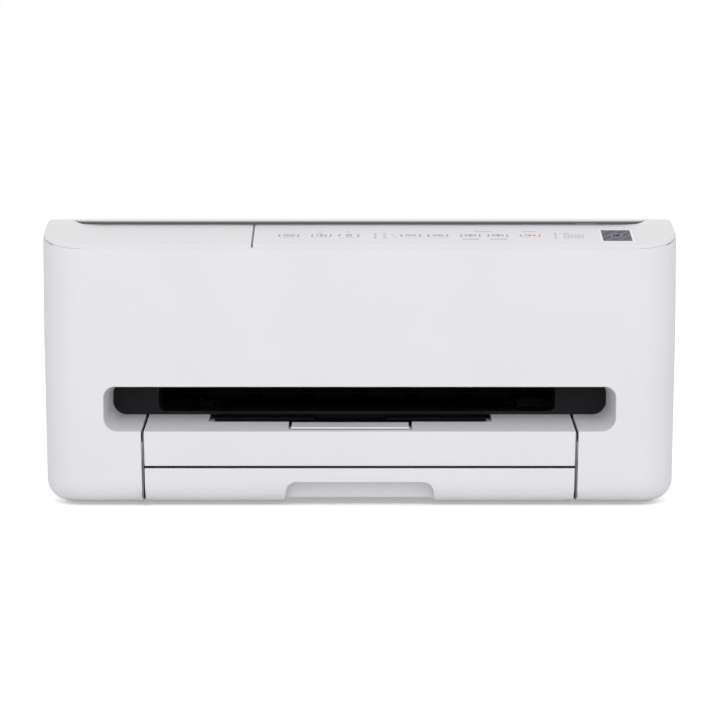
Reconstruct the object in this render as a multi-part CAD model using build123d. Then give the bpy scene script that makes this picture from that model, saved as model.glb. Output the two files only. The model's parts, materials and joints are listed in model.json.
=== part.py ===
from build123d import *
import math
import os

# Driving dimensions in mm. X runs to the right, Y to the rear, Z up from the floor.
WIDTH = 416
DEPTH = 340
HEIGHT = 187
FOOT_HEIGHT = 2.5
WALL = 2.5
FRONT_CORNER = 26
REAR_CORNER = 20
BOTTOM_ROUND = 14
TOP_ROUND = 4
SIDE_DRAFT = 1.7
DRAFT_TOP = 110
FIT = 0.3
SHAFT_FIT = 0.05

# Sloped strip along the front edge
SLOPE_ANGLE = 21.1
CREASE_DROP = 17.1
STRIP_DEPTH = 36.4
STRIP_PLATE = 1.6
STRIP_SPLIT = -69.7
STRIP_SPLIT_GAP = 1.3

# Joint between the lower case and the scanner unit
SCANNER_HEIGHT = 37
RIM_DROP = 8.6
RIM_SEAM = 0.6
STRIP_SEAM = 0.2
CORNER_SEAM = 0.9
CORNER_SEAM_WIDTH = 9
REAR_STEP_INSET = 26
SKIRT_GAP = 0.8
SKIRT = 2.2
HINGE_INSET = 6
HINGE_BEAD = 6
HINGE_PIN = 2.5
HINGE_PIN_HALF = 12
HINGE_X = 150
EAR = 8

# Document cover and glass
LID_SIDE_INSET = 13.4
LID_FRONT_INSET = 33.2
LID_REAR_INSET = 13
LID_CORNER = 25
LID_REAR_CORNER = 4
LID_PLATE = 2.8
LID_ROUND = 1.4
LID_GAP = 0.8
BED_DROP = 7
BED_PLATE = 2.4
BED_INSET = 5.5
LID_AXIS_INSET = 18
LID_PIN = 2
LID_PIN_HALF = 12.5
LID_BARREL = 3.6
LID_BARREL_HALF = 7.5
LID_EAR = 3
LID_HINGE_X = 130
TROUGH_INSET = 8.5
TROUGH_DEPTH = 5.5
GLASS_LIP = 1.2
GLASS = 3
GLASS_EDGE = 6
GLASS_SIDE_INSET = 24.1
WINDOW_WIDTH = 302
WINDOW_DEPTH = 220
WINDOW_Y = 10
RIM_WIDTH = 2
RIM_OUT = 8

# Keys, lights and the board under the panel
KEY_DISTANCE = 16.9
KEY_LENGTH = 13.5
KEY_WIDTH = 7.4
KEY_PROUD = 0.25
KEY_FLANGE = 0.8
KEY_GAP = 0.2
KEY_TRAVEL = 0.5
KEY_CENTRES = (-46.3, -25.0, -7.1, 33.3, 51.0, 72.3, 90.3, 111.4)
LIGHT_COLUMNS = (10.2, 127.8)
LIGHT_SPACING = 3.6
LIGHT_RADIUS = 0.7
BOARD = 1.6

# Paper slot in the front face
SLOT_SIDE_INSET = 41.7
SLOT_TOP = 78.6
SLOT_BOTTOM = 49.5
SLOT_DEPTH = 38.7
SLOT_RISE = 7.65
SLOT_DRAFT = 1.95
SLOT_TOP_ROUND = 7
SLOT_BOTTOM_ROUND = 9
SLOT_EDGE = 0.7
MOUTH_X = -1.8
MOUTH_INSET = 8
MOUTH_BOTTOM = 59.3
MOUTH_TOP = 77
MOUTH_LENGTH = 32
BRIDGE_EXTRA = 15.3
BRIDGE_BOTTOM = 27.0
BRIDGE_TAPER = 0.5
SEAM = 2.0
SEAM_TAPER = 0.9
NOTCH_START = 20.9
NOTCH_GAP = 4
POCKET_GAP = 2.1
POCKET_FLOOR = 50.2

# Output tray, its extension and the paper stop
TRAY_X = -6.2
TRAY_INSET = 18.5
TRAY_BOTTOM = 54.2
TRAY_PLATE = 2.5
TRAY_LIFT = 0.4
TAB_HALF_WIDTH = 38.4
TAB_FRONT = 5.6
TAB_EDGE = 1.3
RAIL = 4.1
EXTENSION_PLATE = 1.9
EXTENSION_INSET = 20
STOP_LENGTH = 15
STOP_HALF_WIDTH = 20
STOP_AXIS = 23.1
STOP_PIN = 2.5

# Paper cassette
PAPER_WIDTH = 216
CASSETTE_TOP = 25.5
CASSETTE_EXTRA = 17
CASSETTE_LIFT = 5.6
CASSETTE_RIM = 24
CASSETTE_REAR_INSET = 24
CASSETTE_WALL = 1.8
CASSETTE_START = 10
FINGER_TOP = 16.6
FINGER_WIDE = 48.9
FINGER_NARROW = 47.6
FINGER_DEPTH = 13.5
FINGER_LOW = 5.1
FINGER_ROUND = 7
GUIDE_TRAVEL = 57
GUIDE_Y = 55
GUIDE_HALF_LENGTH = 36
GUIDE_WALL = 1.8
GUIDE_FOOT = 12
PINION_TEETH = 20
PINION_MODULE = 1
PINION_BORE = 3
RACK = 1.8
RACK_WIDTH = 3.2

# Print mechanism
PLATE_INSET = 16
PLATE = 1.5
CHASSIS_AHEAD = 16
WALL_BEHIND = 14
CHASSIS_BOTTOM = 26
CHASSIS_SHOULDER = 96
CHASSIS_DROP = 13
ROD_BEHIND = 16
ROD_LIFT = 24
ROD_RADIUS = 4
FEED_INSET = 108
ROLLER_SPACING = 58
ROLLER_Z = 60
FEED_RADIUS = 6
EXIT_RADIUS = 5
SHAFT_RADIUS = 3
ROLLER_END_GAP = 1
GEAR_MODULE = 1.5
ROLLER_TEETH = 24
DRIVE_TEETH = 20
GEAR_WIDTH = 6
GEAR_GAP = 1.5
MOTOR_SHAFT = 1.5
MOTOR_BOSS = 4
PRESSURE_ANGLE = 20
BACKLASH = 0.16
TURN_INSET = 32
TURN_Z = 43
TURN_INNER = 17.4
TURN_GAP = 6.6
TURN_PLATE = 2
PICKUP_AHEAD = 26
PICKUP_Z = 35
PICKUP_RADIUS = 9
CARRIAGE_HALF_WIDTH = 32
CARRIAGE_PARK = 48
BAY_WALL = 2.5
CARRIAGE_LIFT = 8
CARRIAGE_DROP = 21
PURGE_LEFT = 28
PURGE_RIGHT = 30
PURGE_Z = 40
BELT_BEHIND = 2.5
BELT_LIFT = 16
PULLEY_INSET = 14
PULLEY_RADIUS = 4
MOTOR_RADIUS = 9
MOTOR_GAP = 4

# Scan mechanism, stay arm and the deck below it
SCAN_ROD_Y = 14
SCAN_ROD_LIFT = 8
SCAN_ROD_RADIUS = 3
SCAN_POST_INSET = 14
SCAN_POST = 8
SCAN_BAR_INSET = 36
SCAN_BAR_HALF = 9
SCAN_BELT_Y = 32
SCAN_RAIL_LIFT = 5
ARM_RADIUS = 116.5
ARM_HALF = 3
ARM_START = 181
ARM_END = 230
ARM_PLATE = 3
ARM_INSET = 21
DECK_DROP = 5
DECK_PLATE = 2.5
ACCESS_INSET = 36
PAN_LIFT = 2
PAN_PLATE = 2

# Base, power supply and main board
RIM_FLANGE = 12.5
BASE_START = 34
RUNNER = 2
FOOT_RADIUS = 8
FOOT_PLUG = 5
FOOT_FRONT = 40
FOOT_REAR = 30
SCREW_INSET = 24
SCREW_Y = 20
SUPPLY_GAP = 3.5
SUPPLY_LENGTH = 60
INLET_Z = 34
INLET_WIDTH = 24
INLET_HEIGHT = 14
PORT_OFFSET = 16.5
PORT_Z = 34
PORT_WIDTH = 12.4
PORT_HEIGHT = 11.2
PORT_WALL = 1.5
BOARD_OFFSET = 8

# Places that follow from the sizes above
FRONT = -DEPTH / 2
REAR = DEPTH / 2
HALF = WIDTH / 2
SLOPE = math.tan(math.radians(SLOPE_ANGLE))
CREASE_HEIGHT = HEIGHT - CREASE_DROP
RIM_SEAM_HEIGHT = HEIGHT - RIM_DROP
HINGE_Z = HEIGHT - SCANNER_HEIGHT
HINGE_Y = REAR - HINGE_INSET
REAR_STEP = REAR - REAR_STEP_INSET
REAR_SEAM_HEIGHT = HINGE_Z - RIM_SEAM
LID_HALF_WIDTH = HALF - LID_SIDE_INSET
LID_FRONT = FRONT + LID_FRONT_INSET
LID_REAR = REAR - LID_REAR_INSET
LID_BOTTOM = HEIGHT - LID_PLATE
RECESS_FLOOR = LID_BOTTOM - FIT
BED_HEIGHT = HEIGHT - BED_DROP
LID_AXIS_Y = REAR - LID_AXIS_INSET
LID_AXIS_Z = BED_HEIGHT
TROUGH_REAR = REAR - TROUGH_INSET
TROUGH_FLOOR = LID_AXIS_Z - TROUGH_DEPTH
GLASS_TOP = BED_HEIGHT - GLASS_LIP
WINDOW_X = GLASS_SIDE_INSET + WINDOW_WIDTH / 2 - (LID_HALF_WIDTH - BED_INSET)
CASSETTE_HALF_WIDTH = PAPER_WIDTH / 2 + CASSETTE_EXTRA
CASSETTE_REAR = REAR - CASSETTE_REAR_INSET
SLOT_HALF_WIDTH = HALF - SLOT_SIDE_INSET
BRIDGE_HALF_WIDTH = CASSETTE_HALF_WIDTH + BRIDGE_EXTRA
MOUTH_HALF_WIDTH = BRIDGE_HALF_WIDTH - MOUTH_INSET
TRAY_HALF_WIDTH = PAPER_WIDTH / 2 - TRAY_INSET
NOTCH_HALF_WIDTH = TRAY_HALF_WIDTH + NOTCH_GAP
POCKET_HALF_WIDTH = TAB_HALF_WIDTH + POCKET_GAP
RAIL_INNER = TAB_HALF_WIDTH - RAIL
TRAY_TOP = TRAY_BOTTOM + TRAY_PLATE
DECK_TOP = HINGE_Z - DECK_DROP
PAN_BOTTOM = HINGE_Z + PAN_LIFT
SCAN_ROD_Z = PAN_BOTTOM + SCAN_ROD_LIFT
SCAN_RAIL = PAN_BOTTOM + SCAN_RAIL_LIFT
SCAN_POST_X = HALF - SCAN_POST_INSET
SCAN_BAR_REST = SCAN_BAR_INSET - HALF
ARM_X = ARM_INSET - HALF
ACCESS_HALF = HALF - ACCESS_INSET
FEED_Y = REAR - FEED_INSET
EXIT_Y = FEED_Y - ROLLER_SPACING
TRAY_REAR = EXIT_Y - 12
EXTENSION_REAR = TRAY_REAR - EXTENSION_INSET
ACCESS_FRONT = EXIT_Y - 18
ACCESS_REAR = FEED_Y + 10
ROD_Y = FEED_Y + ROD_BEHIND
BELT_Y = ROD_Y + BELT_BEHIND
CARRIAGE_FRONT = EXIT_Y + 8
CARRIAGE_BACK = FEED_Y + 6
CHASSIS_FRONT = EXIT_Y - CHASSIS_AHEAD
CHASSIS_WALL = ROD_Y + WALL_BEHIND
CHASSIS_REAR = CHASSIS_WALL + 4
PLATE_X = HALF - PLATE_INSET
PLATE_TOP = DECK_TOP - CHASSIS_DROP
ROD_Z = ROLLER_Z + ROD_LIFT
BELT_Z = ROD_Z + BELT_LIFT
PULLEY_X = PLATE_X - PULLEY_INSET
CARRIAGE_REST = PLATE_X - CARRIAGE_PARK
CARRIAGE_BOTTOM = ROLLER_Z + CARRIAGE_LIFT
CARRIAGE_TOP = DECK_TOP - CARRIAGE_DROP
ROLLER_HALF_LENGTH = CARRIAGE_REST - PURGE_LEFT - ROLLER_END_GAP
TURN_Y = REAR - TURN_INSET
PICKUP_Y = TURN_Y - PICKUP_AHEAD
DRIVE_Y = (FEED_Y + EXIT_Y) / 2
GEAR_SPACING = GEAR_MODULE * (ROLLER_TEETH + DRIVE_TEETH) / 2
DRIVE_Z = ROLLER_Z - math.sqrt(GEAR_SPACING ** 2 - (FEED_Y - DRIVE_Y) ** 2)
GEAR_X = -PLATE_X - GEAR_GAP - GEAR_WIDTH
BASE_TOP = FOOT_HEIGHT + WALL
FOOT_X = (CASSETTE_HALF_WIDTH + HALF) / 2
SCREW_X = HALF - SCREW_INSET
SUPPLY_OUTER = SCREW_X - 6
SUPPLY_INNER = CASSETTE_HALF_WIDTH + SUPPLY_GAP
INLET_X = -(SUPPLY_OUTER + SUPPLY_INNER) / 2
PORT_X = FOOT_X - PORT_OFFSET
BOARD_X = PORT_X - BOARD_OFFSET
RAMP = SLOT_RISE / SLOT_DEPTH
COVER_LOW = BASE_TOP + WALL + 1
STANDING = (Align.CENTER, Align.CENTER, Align.MIN)


def strip_height(y, drop=0):
    """Height of the sloped strip at y, lowered by drop."""
    return CREASE_HEIGHT + SLOPE * (y - FRONT) - drop


def ramp_height(distance):
    """Height of the slot's ramp at a distance behind the front face."""
    return SLOT_BOTTOM + RAMP * distance


def block(x0, x1, y0, y1, z0, z1):
    """Box between two corners."""
    centre = Pos((x0 + x1) / 2, (y0 + y1) / 2, (z0 + z1) / 2)
    return centre * Box(x1 - x0, y1 - y0, z1 - z0)


def both_sides(x0, x1, y0, y1, z0, z1):
    """The same box on the right and on the left."""
    return block(x0, x1, y0, y1, z0, z1) + block(-x1, -x0, y0, y1, z0, z1)


def prism_x(points, x0, x1):
    """Outline in Y and Z, pushed from x0 to x1."""
    plane = Plane(origin=(x0, 0, 0), x_dir=(0, 1, 0), z_dir=(1, 0, 0))
    return extrude(plane * make_face(Polyline(*points, close=True)), x1 - x0)


def prism_y(face, y0, y1):
    """Sketch in X and Z, pushed from y0 to y1."""
    plane = Plane(origin=(0, y1, 0), x_dir=(1, 0, 0), z_dir=(0, -1, 0))
    return extrude(plane * face, y1 - y0)


def rod_x(y, z, radius, x0, x1):
    """Round bar along X."""
    return Pos(x0, y, z) * Rot(0, 90, 0) * Cylinder(radius, x1 - x0, align=STANDING)


def rod_y(x, z, radius, y0, y1):
    """Round bar along Y."""
    return Pos(x, y0, z) * Rot(-90, 0, 0) * Cylinder(radius, y1 - y0, align=STANDING)


def rod_z(x, y, radius, z0, z1):
    """Round bar along Z."""
    return Pos(x, y, z0) * Cylinder(radius, z1 - z0, align=STANDING)


def rounded(x0, x1, y0, y1, first, last):
    """Rectangle with one corner radius at its low side and one at its high side."""
    face = Pos((x0 + x1) / 2, (y0 + y1) / 2) * Rectangle(x1 - x0, y1 - y0)
    rows = face.vertices().group_by(Axis.Y)
    face = fillet(rows[0], first)
    return fillet(face.vertices().group_by(Axis.Y)[-1], last)


def plan(inset, narrow=0):
    """Outline of the case seen from above, drawn in by inset."""
    side = HALF - inset - narrow
    front = max(FRONT_CORNER - inset, 1)
    rear = max(REAR_CORNER - inset, 1)
    return rounded(-side, side, FRONT + inset, REAR - inset, front, rear)


def case_form(inset, bottom):
    """Body of the case drawn in by inset: tapered below, upright above."""
    share = (DRAFT_TOP - bottom) / (DRAFT_TOP - FOOT_HEIGHT)
    sections = [Pos(0, 0, bottom) * plan(inset, SIDE_DRAFT * share), Pos(0, 0, DRAFT_TOP) * plan(inset)]
    lower = loft(sections, ruled=True)
    return lower + extrude(Pos(0, 0, DRAFT_TOP) * plan(inset), HEIGHT - DRAFT_TOP)


def above_strip(drop, last=REAR):
    """Everything above the sloped strip, lowered by drop, as far back as last."""
    start = FRONT - WALL
    top = 2 * HEIGHT
    points = [(start, strip_height(start, drop)), (last, strip_height(last, drop)), (last, top), (start, top)]
    return prism_x(points, -WIDTH, WIDTH)


def closed_body():
    """Whole outer form with its rounded edges, before it is cut into pieces."""
    body = case_form(0, FOOT_HEIGHT)
    body = fillet(lower_edges(body), BOTTOM_ROUND)
    body -= above_strip(0)
    upper = [f for f in body.faces() if f.normal_at(f.center()).Z > 0.9 and f.center().Z > CREASE_HEIGHT]
    edges = [e for f in upper for e in f.edges()]
    inner = [e for e in edges if abs(e.center().X) < 1 and FRONT + 1 < e.center().Y < REAR - 1]
    rows = [e.center().Y for e in inner]
    rim = [e for e in edges if abs(e.center().X) > 1 or all(abs(e.center().Y - y) > 0.01 for y in rows)]
    return fillet(rim, TOP_ROUND)


def lower_edges(body):
    """Lower edges of a case form except those at the rear."""
    return [e for e in body.faces().sort_by(Axis.Z)[0].edges() if e.center().Y < REAR - REAR_CORNER]


def lower_zone():
    """Space of the lower case, below the seams of the scanner unit."""
    drop = STRIP_PLATE + STRIP_SEAM
    turn = FRONT + (RIM_SEAM_HEIGHT - CREASE_HEIGHT + drop) / SLOPE
    start = FRONT - WALL
    points = [
        (start, -WALL), (REAR + WALL, -WALL), (REAR + WALL, REAR_SEAM_HEIGHT), (REAR_STEP, REAR_SEAM_HEIGHT),
        (REAR_STEP, RIM_SEAM_HEIGHT), (turn, RIM_SEAM_HEIGHT), (start, strip_height(start, drop))]
    zone = prism_x(points, -WIDTH, WIDTH) - rod_x(HINGE_Y, HINGE_Z, HINGE_BEAD + RIM_SEAM, -WIDTH, WIDTH)
    inner = HALF - CORNER_SEAM_WIDTH
    corner = above_strip(STRIP_PLATE + CORNER_SEAM, FRONT + STRIP_DEPTH)
    return zone - (corner & both_sides(inner, WIDTH, -DEPTH, DEPTH, 0, RIM_SEAM_HEIGHT))


def upper_zone():
    """Space of the scanner unit's outer walls."""
    low = RIM_SEAM_HEIGHT + RIM_SEAM
    turn = FRONT + (low - CREASE_HEIGHT + STRIP_PLATE) / SLOPE
    start = FRONT - WALL
    step = REAR_STEP + RIM_SEAM
    points = [
        (start, strip_height(start, STRIP_PLATE)), (turn, low), (step, low), (step, HINGE_Z),
        (REAR + WALL, HINGE_Z), (REAR + WALL, 2 * HEIGHT), (start, 2 * HEIGHT)]
    return prism_x(points, -WIDTH, WIDTH)


def slot_section(distance, grow=0):
    """Outline of the paper slot at a distance behind the front face."""
    side = SLOT_HALF_WIDTH - SLOT_DRAFT * distance / SLOT_DEPTH + grow
    low = ramp_height(distance) - grow
    face = rounded(-side, side, low, SLOT_TOP + grow, SLOT_BOTTOM_ROUND + grow, SLOT_TOP_ROUND + grow)
    plane = Plane(origin=(0, FRONT + distance, 0), x_dir=(1, 0, 0), z_dir=(0, -1, 0))
    return plane * face


def slot_form(start, end, grow=0):
    """Tapering hollow of the paper slot between two distances."""
    return loft([slot_section(end, grow), slot_section(start, grow)], ruled=True)


def main_case(body):
    """Outer shell with the front face, the sides and the walls of the paper slot."""
    case = body & lower_zone()
    hollow = case_form(WALL, BASE_TOP)
    case -= fillet(lower_edges(hollow), BOTTOM_ROUND - WALL)
    case -= extrude(Pos(0, 0, -1) * plan(RIM_FLANGE), BOTTOM_ROUND)
    case += slot_form(WALL / 2, SLOT_DEPTH, WALL)
    case -= slot_form(-1, SLOT_DEPTH + 1)
    rim = [e for e in case.edges() if on_front(e) and SLOT_BOTTOM - 1 < e.center().Z < SLOT_TOP + 1]
    case = fillet(rim, SLOT_EDGE)
    case -= bridge_opening()
    side = HALF - REAR_CORNER
    case -= block(-side, side, REAR - 2 * WALL, REAR + 1, COVER_LOW, HEIGHT)
    return case


def on_front(edge):
    """True for an edge round the slot that lies in the front face."""
    if abs(edge.center().X) > SLOT_HALF_WIDTH + 1:
        return False
    return all(abs(v.Y - FRONT) < 0.01 for v in edge.vertices())


def bridge_opening():
    """Opening of the front bridge and the cassette, a little narrower at the bottom."""
    wide = BRIDGE_HALF_WIDTH + SEAM
    narrow = wide - SEAM_TAPER
    top = ramp_height(SLOT_DEPTH)
    return prism_y(tapered(narrow, wide, -1, top), FRONT - 1, FRONT + SLOT_DEPTH + 1)


def tapered(narrow, wide, low, high):
    """Face that widens from low to the slot's lower edge and goes straight up from there."""
    half = [(narrow, low), (wide, SLOT_BOTTOM), (wide, high)]
    return make_face(Polyline(*[(-x, z) for x, z in half], *reversed(half), close=True))


def rear_cover():
    """Rear wall with vents, an inlet opening and a port opening."""
    side = HALF - REAR_CORNER - FIT
    low = COVER_LOW + FIT
    top = HINGE_Z - 3 * WALL
    cover = block(-side, side, REAR - WALL, REAR, low, REAR_SEAM_HEIGHT)
    cover += both_sides(side - WALL, side + WALL / 2, REAR - 2 * WALL - FIT, REAR - WALL - 2 * FIT, low, top)
    cover += both_sides(side - WALL, side, REAR - 2 * WALL, REAR - WALL, low, top)
    cover -= rod_x(HINGE_Y, HINGE_Z, HINGE_BEAD + RIM_SEAM, -WIDTH, WIDTH)
    cover -= rear_opening(INLET_X, INLET_Z, INLET_WIDTH + 2 * FIT, INLET_HEIGHT + 2 * FIT)
    edge = 2 * (PORT_WALL + FIT)
    cover -= rear_opening(PORT_X, PORT_Z, PORT_WIDTH + edge, PORT_HEIGHT + edge)
    half = (PORT_HEIGHT + edge) / 2
    cover -= block(BOARD_X - FIT, PORT_X, REAR - 8, REAR + 1, PORT_Z - half, PORT_Z + half)
    vents = [block(x - 1.2, x + 1.2, REAR - 4 * WALL, REAR + 1, 90, 120) for x in range(-60, 61, 8)]
    return cover - vents


def rear_opening(x, z, width, height):
    """Opening through the rear wall round a socket."""
    return block(x - width / 2, x + width / 2, REAR - 8, REAR + 1, z - height / 2, z + height / 2)


def base_tray():
    """Bottom plate with guide rails for the cassette and bosses for the feet."""
    plate = extrude(Pos(0, 0, FOOT_HEIGHT) * plan(RIM_FLANGE + FIT), WALL)
    front = FRONT + BASE_START
    opening = BRIDGE_HALF_WIDTH + SEAM
    plate -= block(-opening, opening, FRONT - 1, front, 0, HEIGHT)
    inner = CASSETTE_HALF_WIDTH + FIT
    rear = REAR - RIM_FLANGE - FIT
    plate += both_sides(inner, inner + RUNNER, front, rear, BASE_TOP, CASSETTE_RIM)
    plate += both_sides(inner - 4, inner, front, rear - 2 * WALL, BASE_TOP, CASSETTE_LIFT - FIT)
    for y in (CHASSIS_FRONT + 12, CHASSIS_REAR - 2):
        plate += both_sides(inner + RUNNER, SUPPLY_OUTER, y, y + 1.6, BASE_TOP, CASSETTE_RIM / 2)
    for x, y in foot_places():
        plate -= rod_z(x, y, FOOT_PLUG, 0, BASE_TOP + 1)
    for x, y in screw_places():
        plate += rod_z(x, y, 4.6, BASE_TOP, BASE_TOP + 5)
        plate -= rod_z(x, y, 3.4, 0, FOOT_HEIGHT + 1.4) + rod_z(x, y, 1.4, 0, BASE_TOP + 6)
    return plate


def foot_places():
    """Centres of the four feet."""
    return [(side * FOOT_X, y) for side in (-1, 1) for y in (FRONT + FOOT_FRONT, REAR - FOOT_REAR)]


def rubber_feet():
    """Four round feet with plugs in the bottom plate."""
    feet = []
    for x, y in foot_places():
        pad = rod_z(x, y, FOOT_RADIUS, 0, FOOT_HEIGHT)
        pad = fillet(pad.edges().sort_by(Axis.Z)[0], FOOT_HEIGHT / 3)
        feet.append(pad + rod_z(x, y, FOOT_PLUG - SHAFT_FIT, FOOT_HEIGHT, BASE_TOP))
    return Compound(children=feet)


def front_bridge():
    """Panel under the slot: front face, ramp with its notch, and the bed of the output tray."""
    back = FRONT + SLOT_DEPTH
    face = FRONT + WALL
    low = BRIDGE_BOTTOM
    wide = BRIDGE_HALF_WIDTH
    top = ramp_height(SLOT_DEPTH)
    profile = [
        (FRONT, low), (FRONT, SLOT_BOTTOM), (back, top), (back, top - WALL),
        (face, SLOT_BOTTOM - WALL + RAMP * WALL), (face, low + 2), (face + 8, low + 2), (face + 8, low)]
    bridge = prism_x(profile, -wide, wide)
    bridge = fillet(front_edges(bridge)[-1], 0.8)
    bridge = fillet(lower_front_edge(bridge), 0.9)
    cheek = [(FRONT + 1, low + 2), (FRONT + 1, SLOT_BOTTOM - 1), (back, top - 1), (back, low + 16)]
    bridge += prism_x(cheek, wide - WALL, wide) + prism_x(cheek, -wide, WALL - wide)
    bridge += tray_bed()
    notch = FRONT + NOTCH_START
    bridge -= at_tray(-NOTCH_HALF_WIDTH, NOTCH_HALF_WIDTH, notch, back + 1, TRAY_BOTTOM - TRAY_LIFT, HEIGHT)
    bridge -= at_tray(-POCKET_HALF_WIDTH, POCKET_HALF_WIDTH, FRONT, back + 30, POCKET_FLOOR, HEIGHT)
    bridge &= prism_y(tapered(wide - BRIDGE_TAPER, wide, low, SLOT_TOP), FRONT, back + 30)
    start = FRONT + WALL + FIT
    return bridge + both_sides(wide - WALL, wide + 2 * WALL, start, start + 2, low + 3, SLOT_BOTTOM - 7)


def front_edges(piece):
    """Straight edges along X in the front face, from the lowest to the highest."""
    return piece.edges().filter_by(Axis.X).filter_by_position(Axis.Y, FRONT - 0.1, FRONT + 0.1).sort_by(Axis.Z)


def at_tray(x0, x1, y0, y1, z0, z1):
    """Box between two corners whose X counts from the middle of the output tray."""
    return block(TRAY_X + x0, TRAY_X + x1, y0, y1, z0, z1)


def tray_bed():
    """Shelf that carries the output tray, with a lower channel in the middle."""
    start = FRONT + WALL / 2
    notch = FRONT + NOTCH_START - WALL
    end = FRONT + SLOT_DEPTH + 20
    top = TRAY_BOTTOM - TRAY_LIFT
    side = POCKET_HALF_WIDTH + 2.7
    bed = at_tray(-side, side, start, end, POCKET_FLOOR - 2, POCKET_FLOOR)
    for edge in (-side, POCKET_HALF_WIDTH):
        bed += at_tray(edge, edge + side - POCKET_HALF_WIDTH, start + 4 * WALL, end, POCKET_FLOOR - 2, top)
    bed += at_tray(-NOTCH_HALF_WIDTH - 2, -POCKET_HALF_WIDTH, notch, end, top - 2, top)
    bed += at_tray(POCKET_HALF_WIDTH, NOTCH_HALF_WIDTH + 2, notch, end, top - 2, top)
    return bed - above_ramp()


def above_ramp():
    """Everything above the slot's ramp as far back as its rear edge."""
    end = SLOT_DEPTH
    points = [(FRONT - 1, ramp_height(-1)), (FRONT + end, ramp_height(end)), (FRONT + end, HEIGHT), (FRONT - 1, HEIGHT)]
    return prism_x(points, -WIDTH, WIDTH)


def slot_frame():
    """Dark frame at the back of the slot with the mouth that leads inside."""
    start = SLOT_DEPTH
    frame = slot_form(start, start + 2)
    left = MOUTH_X - MOUTH_HALF_WIDTH
    right = MOUTH_X + MOUTH_HALF_WIDTH
    outer = rounded(left - 2, right + 2, ramp_height(start), SLOT_TOP, 6, 6)
    inner = rounded(left, right, MOUTH_BOTTOM, MOUTH_TOP, 5, 5)
    frame &= prism_y(slot_plain(), FRONT + start - 1, FRONT + start + 3)
    frame += prism_y(outer, FRONT + start, FRONT + start + MOUTH_LENGTH)
    return frame - prism_y(inner, FRONT, FRONT + start + 40)


def slot_plain():
    """Outline of the slot's rear end, with the clearance of the frame."""
    side = SLOT_HALF_WIDTH - SLOT_DRAFT
    low = ramp_height(SLOT_DEPTH)
    return rounded(-side, side, low, SLOT_TOP, SLOT_BOTTOM_ROUND, SLOT_TOP_ROUND)


def output_tray():
    """Flat sliding tray with rails for its extension and a gap for the paper stop."""
    front = FRONT + NOTCH_START + 1.1
    tray = at_tray(-TRAY_HALF_WIDTH, TRAY_HALF_WIDTH, front, TRAY_REAR, TRAY_BOTTOM, TRAY_TOP)
    tray = fillet(tray.edges().filter_by(Axis.X).sort_by(Axis.Y)[0:2], 1)
    low = POCKET_FLOOR + 0.6
    for side in (-1, 1):
        x0, x1 = sorted((side * RAIL_INNER, side * TAB_HALF_WIDTH))
        tray += at_tray(x0, x1, front, EXTENSION_REAR, low, TRAY_BOTTOM)
        x0, x1 = sorted((side * (RAIL_INNER - 5), side * RAIL_INNER))
        tray += at_tray(x0, x1, front, EXTENSION_REAR, low, low + 0.9)
    half = STOP_HALF_WIDTH + 4
    return tray - at_tray(-half, half, front - 1, stop_end() + 1, 0, HEIGHT)


def stop_end():
    """Place of the paper stop's free edge while it lies flat."""
    return FRONT + STOP_AXIS + STOP_LENGTH


def tray_extension():
    """Thin plate under the output tray with a window for the paper stop."""
    top = TRAY_BOTTOM - FIT
    side = RAIL_INNER - FIT
    half = STOP_HALF_WIDTH + FIT
    plate = at_tray(-side, side, FRONT + NOTCH_START, EXTENSION_REAR, top - EXTENSION_PLATE, top)
    axis = FRONT + STOP_AXIS
    plate -= at_tray(-half, half, axis - stop_half() - FIT, stop_end() + 0.6, 0, HEIGHT)
    half += STOP_PIN
    return plate - rod_x(axis, stop_axis_height(), 0.5 + SHAFT_FIT, TRAY_X - half, TRAY_X + half)


def stop_axis_height():
    """Height of the paper stop's hinge line."""
    return TRAY_BOTTOM - FIT - EXTENSION_PLATE / 2


def stop_half():
    """Half of the paper stop's thickness."""
    return EXTENSION_PLATE / 2 - 0.15


def paper_stop():
    """Flap that stands up at the front end of the extension."""
    axis = FRONT + STOP_AXIS
    middle = stop_axis_height()
    half = stop_half()
    wide = STOP_HALF_WIDTH
    stop = at_tray(-wide, wide, axis, stop_end(), middle - half, middle + half)
    stop += rod_x(axis, middle, half, TRAY_X - wide, TRAY_X + wide)
    return stop + rod_x(axis, middle, 0.5, TRAY_X - wide - STOP_PIN, TRAY_X + wide + STOP_PIN)


def output_tab():
    """Pull tab in the ramp, with a thin front lip."""
    start = FRONT + TAB_FRONT
    end = FRONT + NOTCH_START
    low = POCKET_FLOOR + 0.4
    points = [(start, low), (end, low), (end, ramp_height(NOTCH_START)), (start, low + TAB_EDGE)]
    tab = prism_x(points, TRAY_X - TAB_HALF_WIDTH, TRAY_X + TAB_HALF_WIDTH)
    edges = tab.edges().filter_by(Axis.X).sort_by(Axis.Y)[0:2]
    return fillet(edges, TAB_EDGE / 3)


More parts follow.
